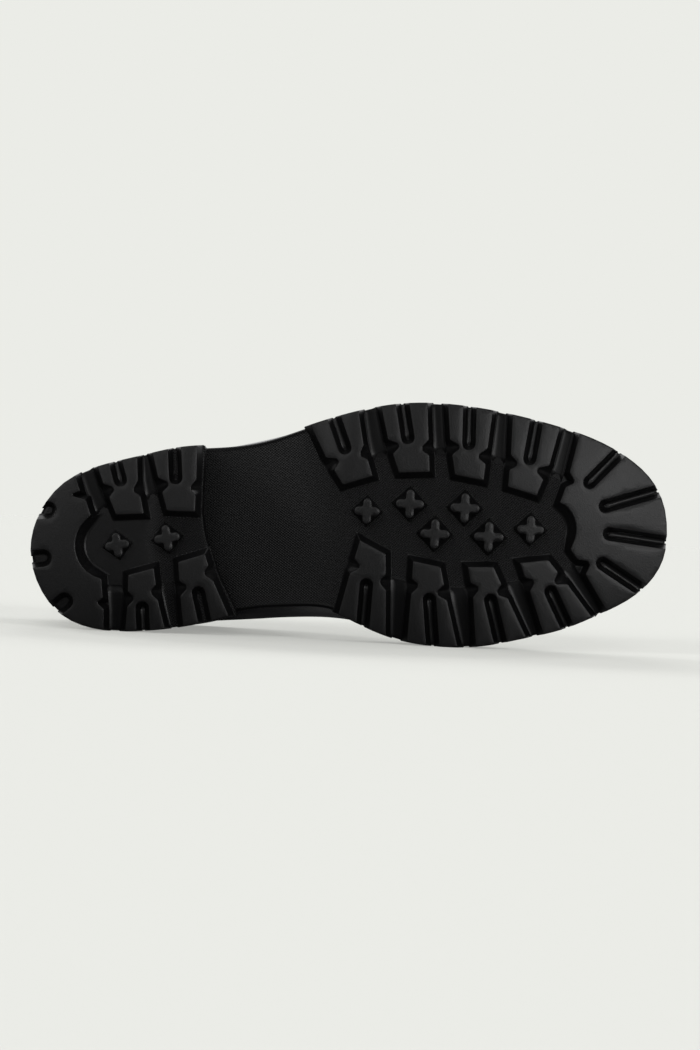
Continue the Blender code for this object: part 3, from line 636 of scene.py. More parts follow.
def blended_side(edge):
    """Rows of the sheet's side: a hollowed end for the channels, a plain round edge along the waist."""
    share = channels(edge[:, 0])
    end = LUG_DEPTH + CHANNEL_DROP * share
    rows = []
    for channel, plain in zip(CHANNEL_SIDE, PLAIN_SIDE):
        far, up = (a * share + b * (1 - share) for a, b in zip(channel, plain))
        rows.append((far[:, None], end + up))
    return rows


def piece_mesh(name, points, faces, attributes=None, slots=None):
    """Mesh object from boot measures: doubles merged, faces outwards, values and material slots kept."""
    mesh = bpy.data.meshes.new(name)
    mesh.from_pydata(to_world(points).tolist(), [], faces)
    if slots is not None:
        mesh.polygons.foreach_set("material_index", slots)
    for key, values in (attributes or {}).items():
        mesh.attributes.new(key, "FLOAT", "POINT").data.foreach_set("value", np.asarray(values, np.float32))
    bm = bmesh.new()
    bm.from_mesh(mesh)
    bmesh.ops.remove_doubles(bm, verts=bm.verts, dist=2e-6)
    bmesh.ops.dissolve_degenerate(bm, edges=bm.edges, dist=1e-7)
    bmesh.ops.recalc_face_normals(bm, faces=bm.faces)
    bm.to_mesh(mesh)
    bm.free()
    mesh.shade_smooth()
    piece = bpy.data.objects.new(name, mesh)
    bpy.context.scene.collection.objects.link(piece)
    return piece


def join_solids(solids):
    """Points and faces of several solids as one list."""
    points, faces, start = [], [], 0
    for more_points, more_faces in solids:
        points.append(np.asarray(more_points, float))
        faces += [[start + i for i in face] for face in more_faces]
        start += len(more_points)
    return np.vstack(points), faces


def end_block(edges, side, ring, medial_side, slots, width):
    """Corners and spreads of the block at the sole's end: an inner side with an arc, slots in its rim."""
    centre, radius = ring
    at_toe = centre[0] > MID_SOLE
    first = math.atan2(side[-1][1] - centre[1], side[-1][0] - centre[0])
    last = math.atan2(medial_side[0][1] - centre[1], medial_side[0][0] - centre[0])
    inward = 0.0 if at_toe else math.pi
    first, last = [math.remainder(t - inward, 2 * math.pi) + inward for t in (first, last)]
    turn = np.linspace(first, last, 11)[1:-1]
    hollow = [(centre[0] + radius * math.cos(t), centre[1] + radius * math.sin(t)) for t in turn]
    inner = [np.array(p, float) for p in (*side, *hollow, *medial_side)]
    spread = [1.0] * len(side) + [ARC_SPREAD] * (len(hollow) - 1) + [1.0] * (len(medial_side) + 1)
    runs = [nearest_run(edges[1]), *(nearest_run(mouth) for mouth, tip in slots[::-1]), nearest_run(edges[0])]
    if not at_toe:
        runs = [run - EDGE_RUN[-1] * (run > runs[0]) for run in runs]
    cuts = [(run, np.array(tip, float)) for run, (mouth, tip) in zip(runs[1:-1], slots[::-1])]
    stretch, walls = with_slots(runs[0], runs[-1], cuts, width)
    corners = np.array(inner + stretch)
    return corners, corners, np.array(spread + walls, float)


def block_ends(edges, side, medial_side):
    """The end block's wall on each side: along at the edge, the corner near the edge, the inner corner."""
    return {
        "lateral": (edges[0][0], side[0], side[-1]),
        "medial": (edges[1][0], medial_side[-1], medial_side[0]),
    }


edge, spine = sheet_stations()
side_rows = blended_side(edge)
rows = sheet_rows(edge, spine, side_rows, SHEET_SIDE)
levels, count = rows.shape[:2]
sheet = rows.reshape(-1, 3), tube_faces(levels, count).tolist()
toe = end_block(TOE_EDGES, TOE_SIDE, TOE_RING, TOE_SIDE_MEDIAL, TOE_SLOTS, SLOT_WIDTH)
lugs = [lug(*shape, CHANNEL_DROP) for shape in (*map(side_lug, SIDE_LUGS), toe)]
studs = [stud(*row) for row in STUDS]
toe_ends = block_ends(TOE_EDGES, TOE_SIDE, TOE_SIDE_MEDIAL)
toe_slots = [(on_edge([nearest_run(mouth)])[0], np.array(tip)) for mouth, tip in TOE_SLOTS]
slot_beds = [slot_bed(*slot, CHANNEL_DROP) for slot in side_slots(SIDE_LUGS) + toe_slots]
beds = channel_beds(SIDE_LUGS, toe_ends, CHANNEL_DROP, SMOOTH)
points, faces = join_solids([sheet, *lugs, *studs, *slot_beds, *beds])
painted_shade = painted_shade_of(len(points), beds)
points[:, 2] += crown(points) + rise(points[:, 0])
inside = np.concatenate([np.full(len(FLOOR_PARTS), math.inf), FLOOR_DISTANCES[::-1]]).repeat(count)
floor_along, floor_across = sheet[0][: len(inside), :2].T
border = np.where(floor_across < spine[0, 1], SMOOTH["medial"], SMOOTH["lateral"])
share = channels(floor_along)
knurled = np.zeros(len(points))
knurled[: len(inside)] = inside > border * share + PLAIN_RIM * (1 - share)
# The sheet's plain floor outside the knurl is marked with painted shade as well.
painted_shade[: len(inside)] = 1 - knurled[: len(inside)]
outsole = piece_mesh("outsole_rubber", points, faces, {"knurl": knurled, "painted_shade": painted_shade})

RUBBER = (0.0042, 0.0042, 0.0045, 1)
RUBBER_WORN = (0.0085, 0.0085, 0.009, 1)
# lighter colour for the knurl's ridges, a painted highlight; its grooves keep the dark rubber as painted
# shade
RUBBER_PAINTED_HIGHLIGHT = (0.024, 0.024, 0.0245, 1)
KNURL_PITCH = 0.00098   # in metres, as all that a material says
KNURL_TURNS = (56.0, -47.0)     # of the two sets of grooves, from the boot's length
KNURL_DEPTH = 0.0002
SKIN_SCALE = 1400.0     # of the moulded skin's noise, and of the clouds in its wear
CLOUD_SCALE = 38.0
SKIN_SHARE = 0.30       # depth of the skin's roughness, as part of the knurl's
RUBBER_GLOSS = 0.25     # roughness, to which clouds and skin add a little:
GLOSS_CLOUDS = 0.10
GLOSS_SKIN = 0.06
PAINTED_SHADE_SHINE = (0.5, -0.34)       # specular level of the glossy parts, and what the parts under painted shade have more


def node(tree, kind, settings, inputs):
    """A node with these settings; each input takes a value, or the socket that it is linked from."""
    made = tree.nodes.new(kind)
    for key, value in settings.items():
        setattr(made, key, value)
    for key, value in inputs.items():
        if isinstance(value, bpy.types.NodeSocket):
            tree.links.new(value, made.inputs[key])
        else:
            made.inputs[key].default_value = value
    return made


def maths(tree, operation, *values):
    """Output of a Math node on these values or sockets."""
    return node(tree, "ShaderNodeMath", {"operation": operation}, dict(enumerate(values))).outputs[0]


def dot_product(tree, first, second):
    """Dot product of two vectors or sockets."""
    settings = {"operation": "DOT_PRODUCT"}
    return node(tree, "ShaderNodeVectorMath", settings, {0: first, 1: second}).outputs["Value"]


def blend_colours(tree, share, first, second):
    """Colour between the first and the second."""
    settings = {"data_type": "RGBA"}
    return node(tree, "ShaderNodeMix", settings, {"Factor": share, "A": first, "B": second}).outputs["Result"]


def noise(tree, place, scale, detail, roughness=0.55):
    """Factor of a noise texture on these coordinates."""
    inputs = {"Vector": place, "Scale": scale, "Detail": detail, "Roughness": roughness}
    return node(tree, "ShaderNodeTexNoise", {}, inputs).outputs[0]


def new_material(name, **principled):
    """Material with a Principled shader set to these values: its node tree, its shader, itself."""
    material = bpy.data.materials.new(name)
    material.use_nodes = True
    tree = material.node_tree
    shader = tree.nodes["Principled BSDF"]
    for key, value in principled.items():
        shader.inputs[key.replace("_", " ")].default_value = value
    return tree, shader, material


def roughen(tree, shader, height, depth, strength):
    """The shader's normals turned by the slope of a height between 0 and 1 that stands for this depth."""
    inputs = {"Strength": strength, "Distance": depth, "Height": height}
    tree.links.new(node(tree, "ShaderNodeBump", {}, inputs).outputs[0], shader.inputs["Normal"])


def rubber_material():
    """Black moulded rubber with a fine skin, and a knurl by its mask: the lower of two crossing waves. The
    knurl's ridges are painted lighter and its grooves darker, as painted highlight and painted shade, and
    painted shade lowers the specular level where the mesh marks it.
    """
    tree, shader, material = new_material("black_rubber", IOR=1.5)
    place = node(tree, "ShaderNodeTexCoord", {}, {}).outputs["Object"]
    mask = node(tree, "ShaderNodeAttribute", {"attribute_name": "knurl"}, {}).outputs["Fac"]
    waves = []
    for turn in map(math.radians, KNURL_TURNS):
        way = 2 * math.pi / KNURL_PITCH * np.array([math.cos(turn), 0, math.sin(turn)])
        waves.append(maths(tree, "SINE", dot_product(tree, place, way.tolist())))
    ridges = maths(tree, "MULTIPLY", maths(tree, "MINIMUM", *waves), mask)
    skin = noise(tree, place, SKIN_SCALE, 2.0)
    cloud = noise(tree, place, CLOUD_SCALE, 4.0)
    height = maths(tree, "ADD", ridges, maths(tree, "MULTIPLY", skin, SKIN_SHARE))
    roughen(tree, shader, height, KNURL_DEPTH, 0.9)
    worn = maths(tree, "MULTIPLY", cloud, 0.7)
    # The knurl's ridges are painted lighter and its grooves darker: painted highlight and painted shade on
    # its relief.
    painted_knurl_light = maths(tree, "MULTIPLY_ADD", ridges, 0.5, maths(tree, "MULTIPLY", mask, 0.5))
    plain = blend_colours(tree, worn, RUBBER, RUBBER_WORN)
    tree.links.new(blend_colours(tree, painted_knurl_light, plain, RUBBER_PAINTED_HIGHLIGHT), shader.inputs["Base Color"])
    gloss = maths(tree, "MULTIPLY_ADD", cloud, GLOSS_CLOUDS, RUBBER_GLOSS)
    gloss = maths(tree, "MULTIPLY_ADD", skin, GLOSS_SKIN, gloss)
    tree.links.new(gloss, shader.inputs["Roughness"])
    # Painted shade: the specular level drops where the mesh marks it, on the channel beds, the sheet's plain
    # floor and the heel block.
    painted_shade = node(tree, "ShaderNodeAttribute", {"attribute_name": "painted_shade"}, {}).outputs["Fac"]
    shine = maths(tree, "MULTIPLY_ADD", painted_shade, PAINTED_SHADE_SHINE[1], PAINTED_SHADE_SHINE[0])
    tree.links.new(shine, shader.inputs["Specular IOR Level"])
    return material


rubber = rubber_material()
outsole.data.materials.append(rubber)
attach(outsole, "root")
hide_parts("outsole")

# ---------------------------------------------------------------------------------------------
# HEEL. A block of the same rubber with its own lugs and two studs, glued under the outsole. Its
# front face, the breast, is a curve.
# ---------------------------------------------------------------------------------------------

BREAST = [
    (79.3, 91.5), (79.3, 74.5), (79.2, 64.9), (79.8, 57.8), (81.0, 50.6), (83.0, 43.5), (85.7, 37.4),
    (88.9, 29.4), (93.7, 20.1), (99.3, 9.2),
]
HEEL_POLE = (50.0, 46.0)
HEEL_DROP = 1.5
HEEL_SETBACK = 1.1      # the block's side stands behind the ends of its lugs,
HEEL_SIDE_FOOT = 1.1    # and starts this high above the lowest place of its floor
# The block's floor from its pole out, in parts of the way and then in distances from its outline, and
# its rounded rim: distance from the outline, and height. At the breast the rim reaches the outline.
HEEL_FLOOR_PARTS = (0.98, 0.8, 0.6)
HEEL_FLOOR_DISTANCES = (20.0, 17.0, 14.0, 11.0, 8.0, 5.5, 4.0, 2.6)
HEEL_FLOOR_MOST = 0.55  # of the way to the pole, for these distances
HEEL_RIM = [(1.9, 0.0), (1.5, 0.10), (0.7, 0.45), (0.4, 0.85), (0.25, 1.3)]
# The block's hidden top, from its side to the pole: a first step in, and then parts of the way.
HEEL_TOP_STEP = 0.3
HEEL_TOP_PARTS = (0.2, 0.5, 0.8)
HEEL_KNURL = (52.0, 64.0)       # the knurl comes in between these, and leaves the rim plain
RIM_UP = 0.2
# painted shade over the heel block's own body, as a lower specular level
HEEL_PAINTED_SHADE = 0.5
HEEL_CHANNEL = {"medial": 22.0, "lateral": 22.0}
HEEL_LUGS = [
    ("lateral", (28.1, 31.4, 70.3, 38.3, 55.8, 3.6), (47.1, 48.0, 72.5, 51.7, 56.9, 2.6),
     (36.6, 40.5, 69.6)),
    ("lateral", (54.1, 57.5, 74.4, 62.6, 58.9, 3.8), (75.6, 76.0, 74.4, 76.1, 59.0, 2.4),
     (64.6, 66.3, 71.8)),
    ("medial", (45.2, 45.7, 12.2, 45.4, 27.3, 2.8), (64.3, 60.3, 16.1, 57.7, 31.3, 2.6),
     (53.9, 52.7, 15.0)),
    ("medial", (72.9, 70.8, 18.5, 69.0, 34.7, 3.2), (94.7, 86.2, 26.9, 81.8, 39.2, 2.8),
     (83.3, 78.7, 23.4)),
]
HEEL_EDGES = [(17.8, 73.5), (35.2, 0.5)]
HEEL_SIDE = [(20.6, 66.4), (17.0, 64.8), (17.4, 63.8), (23.6, 62.3), (26.4, 55.0)]
HEEL_SIDE_MEDIAL = [(32.8, 25.0), (33.9, 15.6), (31.6, 13.9), (31.8, 12.9), (34.6, 10.6)]
HEEL_RING = ((36.0, 41.2), 16.6)
HEEL_SLOTS = [((3.6, 55.6), (9.7, 56.9)), ((-1.2, 32.4), (8.4, 34.2)), ((11.0, 9.2), (18.6, 16.2))]
HEEL_SLOT_WIDTH = 8.2
HEEL_STUDS = [(39.5, 41.4, 7.4, 12), (63.2, 45.9, 7.9, 12)]


def breast_curve(count):
    """The breast from its lateral end to its medial end, as evenly spread points of a smooth curve."""
    along, across = np.array(BREAST[::-1]).T
    at = np.linspace(across[-1], across[0], count)
    return np.column_stack([smooth(across, along, at), at])


def heel_outline():
    """The heel's outline: round the sole's edge from the breast's medial end, then along the breast.

    With it, 1 for the points on the sole's edge and 0 for those on the breast.
    """
    start, end = nearest_run(BREAST[-1]), nearest_run(BREAST[0]) - EDGE_RUN[-1]
    rim = on_edge(np.linspace(start, end, 190))
    front = breast_curve(90)[1:-1]
    return np.vstack([rim, front]), np.concatenate([np.ones(len(rim)), np.zeros(len(front))])


def heel_block():
    """The heel's body: rows from the middle of its floor out, up its side, and back over its top."""
    outline, rim = heel_outline()
    reach = np.linalg.norm(HEEL_POLE - outline, axis=1)
    inward = (HEEL_POLE - outline) / reach[:, None]
    none = np.zeros(len(rim))
    rows = [(part * reach, none, 0.0) for part in HEEL_FLOOR_PARTS]
    for distance in HEEL_FLOOR_DISTANCES:
        rows.append((np.minimum(distance, HEEL_FLOOR_MOST * reach), none, 0.0))
    for distance, up in HEEL_RIM:
        rows.append((distance - HEEL_RIM[-1][0] * (1 - rim), none + up, 0.0))
    rows += [(HEEL_SETBACK * rim, none, 0.5), (HEEL_SETBACK * rim, none, 1.0)]
    rows.append((HEEL_SETBACK * rim + HEEL_TOP_STEP, none, 1.0))
    rows += [(part * reach, none, 1.0) for part in HEEL_TOP_PARTS]
    points = []
    for distance, up, lifted in rows:
        flat = outline + inward * distance[:, None]
        full = rise(flat[:, 0]) + LUG_DEPTH - GAP
        low = LUG_DEPTH + HEEL_DROP + HEEL_SIDE_FOOT
        on_floor = LUG_DEPTH + up + fall(flat, HEEL_DROP)
        points.append(np.column_stack([flat, low + (full - low) * lifted if lifted else on_floor]))
    return capped_tube(np.stack(points))


heel_end = end_block(HEEL_EDGES, HEEL_SIDE, HEEL_RING, HEEL_SIDE_MEDIAL, HEEL_SLOTS, HEEL_SLOT_WIDTH)
lugs = [lug(*shape, HEEL_DROP) for shape in (*map(side_lug, HEEL_LUGS), heel_end)]
studs = [stud(*row) for row in HEEL_STUDS]
heel_ends = block_ends(HEEL_EDGES, HEEL_SIDE, HEEL_SIDE_MEDIAL)
slot_beds = [slot_bed(*slot, HEEL_DROP) for slot in side_slots(HEEL_LUGS)]
beds = channel_beds(HEEL_LUGS, heel_ends, HEEL_DROP, HEEL_CHANNEL)
block = heel_block()
points, faces = join_solids([block, *lugs, *studs, *slot_beds, *beds])
painted_shade = painted_shade_of(len(points), beds)
painted_shade[: len(block[0])] = HEEL_PAINTED_SHADE
over_floor = points[:, 2] - fall(points, HEEL_DROP) - LUG_DEPTH
knurled = step(*HEEL_KNURL, points[:, 0]) * (np.abs(over_floor) < RIM_UP)
points[:, 2] += crown(points)
heel = piece_mesh("heel_rubber", points, faces, {"knurl": knurled, "painted_shade": painted_shade})
heel.data.materials.append(rubber)
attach(heel, "root")
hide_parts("heel")

# ---------------------------------------------------------------------------------------------
# UPPER. Black calf leather, polished, in two pieces over a textile lining: the front one runs from
# the toe to the collar, and the back one is lapped over it and sewn down both sides with two rows.
# ---------------------------------------------------------------------------------------------

WALL = 2.2
WELT = 3.6
UPPER_FLOOR = LUG_DEPTH + OUTSOLE + GAP
WIDTH_PLACES = (0.12, 0.34, 0.50, 0.66, 0.78, 0.92)
# The line where the upper meets the sole, then rings up to the collar. Each row: the back end's along
# and height, the front end's, half widths at the six places, lengths of the round heel and toe as
# parts of the ring, and how far the ring's middle follows the foot's bow.
FEATHER = (4.5, 0.0, 297.5, 0.0, 37.8, 38.9, 45.3, 52.2, 48.3, 47.6, 0.14, 0.27, 1.0)
RINGS = [
    (2.0, 42.0, 299.5, 29.0, 39.6, 42.0, 46.8, 54.4, 50.8, 49.6, 0.14, 0.27, 0.90),
    (0.5, 53.0, 297.5, 40.0, 39.4, 43.2, 47.4, 53.0, 49.0, 46.5, 0.15, 0.29, 0.75),
    (0.5, 63.0, 289.0, 48.5, 38.2, 41.6, 43.8, 46.8, 43.0, 38.5, 0.17, 0.33, 0.55),
    (1.8, 73.0, 271.0, 54.5, 36.6, 38.8, 40.6, 42.0, 39.0, 32.5, 0.20, 0.38, 0.38),
    (3.5, 82.0, 247.0, 58.5, 35.0, 36.9, 38.4, 40.0, 38.6, 31.8, 0.24, 0.42, 0.24),
    (5.2, 91.0, 222.0, 63.2, 34.0, 35.3, 36.4, 38.4, 39.6, 36.0, 0.29, 0.46, 0.12),
    (6.5, 100.0, 198.0, 70.5, 33.8, 34.6, 35.4, 37.4, 40.0, 41.0, 0.34, 0.50, 0.04),
    (7.0, 110.0, 176.0, 81.0, 34.4, 34.5, 34.8, 36.4, 38.6, 41.0, 0.40, 0.50, 0.0),
    (6.5, 120.0, 157.0, 94.5, 35.6, 35.4, 35.4, 36.2, 37.6, 39.4, 0.45, 0.50, 0.0),
    (5.0, 131.0, 142.5, 111.0, 37.2, 36.8, 36.8, 37.0, 37.4, 38.2, 0.48, 0.50, 0.0),
    (3.2, 143.0, 134.0, 130.0, 39.2, 38.8, 38.6, 38.4, 38.4, 38.6, 0.50, 0.50, 0.0),
    (1.2, 155.5, 129.0, 149.5, 41.4, 41.2, 41.0, 40.8, 40.6, 40.6, 0.50, 0.50, 0.0),
    (-1.0, 167.0, 126.0, 168.0, 42.5, 42.5, 42.5, 42.5, 42.5, 42.5, 0.50, 0.50, 0.0),
]
HALF_RING = 220         # points from the back to the toe along one side of a ring
# Middle of the foot: across at these places along it. The leg's is a straight line: across, and slope.
FOOT_ALONG = (0, 30, 66, 104, 122, 142, 158, 176, 200, 240, 300)
FOOT_MIDDLE = (39.3, 39.9, 46, 53.4, 57.4, 60.5, 60.6, 59.2, 58.2, 58.5, 60)
LEG_MIDDLE = (38.5, 0.065)
# The seam below the gore, along and height.
SEAM = [(95.0, 8.0), (90.0, 22.0), (82.0, 42.0), (75.0, 65.0), (71.5, 85.0)]
GORE_FOOT = (71.5, 85.0, 18.0)      # along, height, and height of its round part
GORE_FRONT = [(90.5, 103.0), (93.0, 128.0), (96.0, 180.0)]
GORE_BACK = [(50.5, 103.0), (46.0, 128.0), (40.0, 180.0)]
LAP = 0.9               # the back piece stands this proud of the front one
GORE_FOOT_TURN = (4, 86)        # degrees of the ellipse that the gore's foot follows

# Soft troughs of the flexed leather: points along and up on both sides, depth, and half width. A
# trough comes in over the first length from its start, and fades over the second before its end.
CREASE_START, CREASE_FADE = 16.0, 26.0
CREASE_LEAST = 0.1      # what it keeps of its depth at its start
CREASE_RIDGE = 0.4      # height of the ridge beside it, as part of its depth
CREASES = [
    ([(196, 72), (172, 76), (146, 82), (122, 86)], 0.95, 6.5),
    ([(180, 84), (160, 87), (138, 92), (116, 94)], 0.7, 6.0),
    ([(6, 93), (22, 91), (38, 94)], 0.9, 5.0),
    ([(232, 64), (226, 52), (214, 34)], 0.45, 4.5),
    ([(218, 66), (211, 54), (200, 36)], 0.4, 4.5),
]


def foot_centre(along):
    """Middle of the foot between its two sides, bowed to the lateral side at the waist."""
    return smooth(FOOT_ALONG, FOOT_MIDDLE, along)


def leg_centre(along):
    """Straight middle line from the heel to the toe, followed by the shaft and the instep."""
    return LEG_MIDDLE[0] + LEG_MIDDLE[1] * along


def ring(row, inset=0.0):
    """One ring: along, across and part of its length, medial side first, rounded off at both ends."""
    back, _, front, _, *widths, heel_round, toe_round, bow = row
    u = (1 - np.cos(np.linspace(0, math.pi, HALF_RING))) / 2
    half = smooth(WIDTH_PLACES, widths, np.clip(u, WIDTH_PLACES[0], WIDTH_PLACES[-1]))
    behind = np.clip(1 - u / heel_round, 0, 1)
    ahead = np.clip((u - 1) / toe_round + 1, 0, 1)
    across = (half - inset) * np.sqrt(1 - behind ** 2) * np.sqrt(1 - ahead ** 2)
    along = back + (front - back) * u + inset * (behind - ahead)
    centre = bow * foot_centre(along) + (1 - bow) * leg_centre(along)
    medial = np.column_stack([along, centre - across, u])
    lateral = np.column_stack([along, centre + across, u])
    return np.vstack([medial, lateral[-2:0:-1]])


def margin_ring(height):
    """The feather line at a height above the flat sole, bent with the sole."""
    flat = ring(FEATHER)[:, :2]
    return np.column_stack([flat, height + rise(flat[:, 0])])


def upper_rings():
    """Outer surface of the upper as rings by points: the feather line twice, then the table's rings."""
    rings = [margin_ring(UPPER_FLOOR), margin_ring(UPPER_FLOOR + WELT + GAP)]
    for row in RINGS:
        along, across, part = ring(row).T
        rings.append(np.column_stack([along, across, row[1] + (row[3] - row[1]) * part]))
    return np.array(rings)


def outward(surface):
    """Unit normals of a surface that is closed along its second index, pointing away from its middle."""
    around = np.roll(surface, -1, 1) - np.roll(surface, 1, 1)
    normal = np.cross(np.gradient(surface, axis=0), around)
    normal /= np.maximum(np.linalg.norm(normal, axis=2, keepdims=True), 1e-9)
    middle = surface.mean(axis=1, keepdims=True)
    way = np.sign(np.sum(normal[:, :, :2] * (surface - middle)[:, :, :2], axis=(1, 2)))
    return normal * way[:, None, None]


def trough(surface):
    """How far creases push the leather in or out: a trough along each line, and a low ridge beside it."""
    push = np.zeros(surface.shape[:2])
    flat = surface[:, :, [0, 2]]
    for line, depth, width in CREASES:
        line = np.array(line, float)
        runs = run_along(line)
        nearest = np.full(push.shape, math.inf)
        left = np.zeros(push.shape)
        for a, b, start, stop in zip(line[:-1], line[1:], runs[:-1], runs[1:]):
            part = np.clip(np.sum((flat - a) * (b - a), axis=2) / np.sum((b - a) ** 2), 0, 1)
            distance = np.linalg.norm(flat - a - part[:, :, None] * (b - a), axis=2)
            left = np.where(distance < nearest, runs[-1] - start - part * (stop - start), left)
            nearest = np.minimum(nearest, distance)
        come_in = CREASE_LEAST + (1 - CREASE_LEAST) * step(0, CREASE_START, runs[-1] - left)
        ridge = CREASE_RIDGE * np.exp(-((nearest - 2 * width) / width) ** 2)
        hollow = np.exp(-((nearest / width) ** 2))
        push += step(0, CREASE_FADE, left) * come_in * depth * (ridge - hollow)
    return push


# The skin: a smooth surface through the rings, read at levels that lie closer where the foot bends.
rings = upper_rings()
heights_of = np.concatenate([[0], np.cumsum(np.linalg.norm(np.diff(rings, axis=0), axis=2).mean(axis=1))])
COLLAR = heights_of[-1]
STAGES = [(0, 0.40, 38), (0.40, 0.56, 32), (0.56, 1, 42)]       # from, to and how many
steps_up = [np.linspace(low, high, count, endpoint=False) for low, high, count in STAGES]
LEVELS = COLLAR * np.concatenate([*steps_up, [1]])
skin = smooth(heights_of, rings, LEVELS)
skin_out = outward(skin)
skin = skin + trough(skin)[:, :, None] * skin_out
every = np.arange(len(skin))


def boundary(row, side, limits):
    """Distance round one ring of the place where it crosses a line, given as along against height."""
    part = slice(0, HALF_RING) if side == "medial" else slice(HALF_RING - 1, None)
    loop = np.vstack([row, row[:1]])
    points, runs = loop[part], run_along(loop)[part]
    if side == "lateral":
        points, runs = points[::-1], runs[::-1]
    line = np.array(limits, float)
    gap = points[:, 0] - np.interp(points[:, 2], line[:, 1], line[:, 0])
    first = int(np.argmax(gap > 0))
    share = gap[first - 1] / (gap[first - 1] - gap[first])
    return runs[first - 1] + share * (runs[first] - runs[first - 1])


def gore_edge(edge):
    """Line of the seam and then one edge of the gore, its foot a quarter of an ellipse."""
    along, height, tall = GORE_FOOT
    turn = np.radians(np.linspace(*GORE_FOOT_TURN, 16))
    reach = edge[0][0] - along
    foot = [(along + reach * math.sin(t), height + tall * (1 - math.cos(t))) for t in turn]
    return [*SEAM, *foot, *edge]


crossings = {}
for side in ("medial", "lateral"):
    for name, edge in (("front", GORE_FRONT), ("back", GORE_BACK)):
        line = gore_edge(edge)
        crossings[side, name] = np.array([boundary(row, side, line) for row in skin])
around = np.linalg.norm(np.diff(np.concatenate([skin, skin[:, :1]], axis=1), axis=1), axis=2).sum(axis=1)


def strip(rows, values, at):
    """Values of the skin's points in these rows, read at the given distances round each row."""
    found = []
    for surface, held, places in zip(skin[rows], values[rows], at):
        run = run_along(np.vstack([surface, surface[:1]]))
        found.append(read_line(places % run[-1], run, np.vstack([held, held[:1]])))
    return np.array(found)


def sheet_solid(outer, inner):
    """Closed sheet from its two faces, each rows by places: a ring round each row, and both ends filled.

    With it, 1 for the faces of the inner side and 0 for the others.
    """
    rows, count = outer.shape[:2]
    points = np.concatenate([outer, inner[:, ::-1]], axis=1)
    faces = tube_faces(rows, 2 * count).tolist()
    inside = np.tile(np.arange(2 * count) >= count - 1, rows - 1).astype(int)
    j = np.arange(count - 1)
    cap = np.column_stack([j, j + 1, 2 * count - 2 - j, 2 * count - 1 - j])
    last = (rows - 1) * 2 * count
    faces += cap[:, ::-1].tolist() + (cap + last).tolist()
    return points.reshape(-1, 3), faces, np.concatenate([inside, np.zeros(2 * len(j), int)])


EDGE_STEPS = np.array([0.0, 0.1, 0.3, 0.6, 1.0, 1.6, 2.6])      # from a panel's cut edge ...
EDGE_SINK = np.array([0.95, 0.55, 0.26, 0.09, 0.02, 0.0, 0.0])  # ... and how far its face sinks there


def panel(first, last, proud, count):
    """A piece of the upper between two distances round each ring: its cut edges are rounded off."""
    plain = (last - first - 2 * EDGE_STEPS[-1])[:, None] * np.linspace(0, 1, count)[1:-1]
    between = first[:, None] + EDGE_STEPS[-1] + plain
    at = np.hstack([first[:, None] + EDGE_STEPS, between, last[:, None] - EDGE_STEPS[::-1]])
    sink = np.concatenate([EDGE_SINK, np.zeros(count - 2), EDGE_SINK[::-1]])
    face, out = strip(every, skin, at), unit(strip(every, skin_out, at))
    return sheet_solid(face + out * (proud - sink)[None, :, None], face - out * WALL)


def sewn_row(rows, at, proud, shift=0.0):
    """Line on the leather at these distances round the rings, moved out, with its outward normals."""
    line = strip(rows, skin, at[rows, None] + shift)[:, 0]
    out = unit(strip(rows, skin_out, at[rows, None] + shift)[:, 0])
    return line + out * proud, out


# A stitch: places along it and its radius there, as parts of its length and half its thickness.
STITCH_RINGS = [(-0.5, 0.0), (-0.42, 0.62), (-0.22, 1.0), (0.22, 1.0), (0.42, 0.62), (0.5, 0.0)]


def stitches(line, out, pitch, length, thick):
    """Row of thread stitches along a line: small round-ended rods laid at an even pitch."""
    run = run_along(line)
    at = np.arange(pitch, run[-1] - pitch / 2, pitch)
    centre = read_line(at, run, line)
    ahead = unit(read_line(at + 0.5, run, line) - centre)
    up = read_line(at, run, out)
    aside = np.cross(ahead, up)
    turn = np.radians(np.arange(0, 360, 60))
    place, radius = np.array(STITCH_RINGS).T[:, :, None] * np.ones(len(turn))
    half = thick / 2 * radius
    rod = np.stack([length * place, half * np.cos(turn), half * np.sin(turn)], axis=2).reshape(-1, 3)
    points = centre[:, None] + rod @ np.stack([ahead, aside, up], axis=1)
    faces = tube_faces(len(STITCH_RINGS), len(turn))
    faces = (np.arange(len(at))[:, None, None] * len(rod) + faces[None]).reshape(-1, 4)
    return points.reshape(-1, 3), faces.tolist()


front = panel(crossings["medial", "front"], crossings["lateral", "front"], 0.0, 190)
back = panel(crossings["lateral", "back"], crossings["medial", "back"] + around, LAP, 120)

LEATHER = (0.0045, 0.0052, 0.0085, 1)
LEATHER_BRIGHT = (0.0085, 0.010, 0.0165, 1)
LINING = (0.020, 0.020, 0.022, 1)
THREAD = (0.016, 0.016, 0.018, 1)


def new_group(name, inputs, outputs):
    """Empty shader node group with these sockets: its tree, its input node's sockets and its output node."""
    tree = bpy.data.node_groups.new(name, "ShaderNodeTree")
    for socket, value in inputs.items():
        made = tree.interface.new_socket(socket, in_out="INPUT", socket_type="NodeSocketFloat")
        made.default_value = value
    for socket in outputs:
        tree.interface.new_socket(socket, in_out="OUTPUT", socket_type="NodeSocketFloat")
    return tree, tree.nodes.new("NodeGroupInput").outputs, tree.nodes.new("NodeGroupOutput")


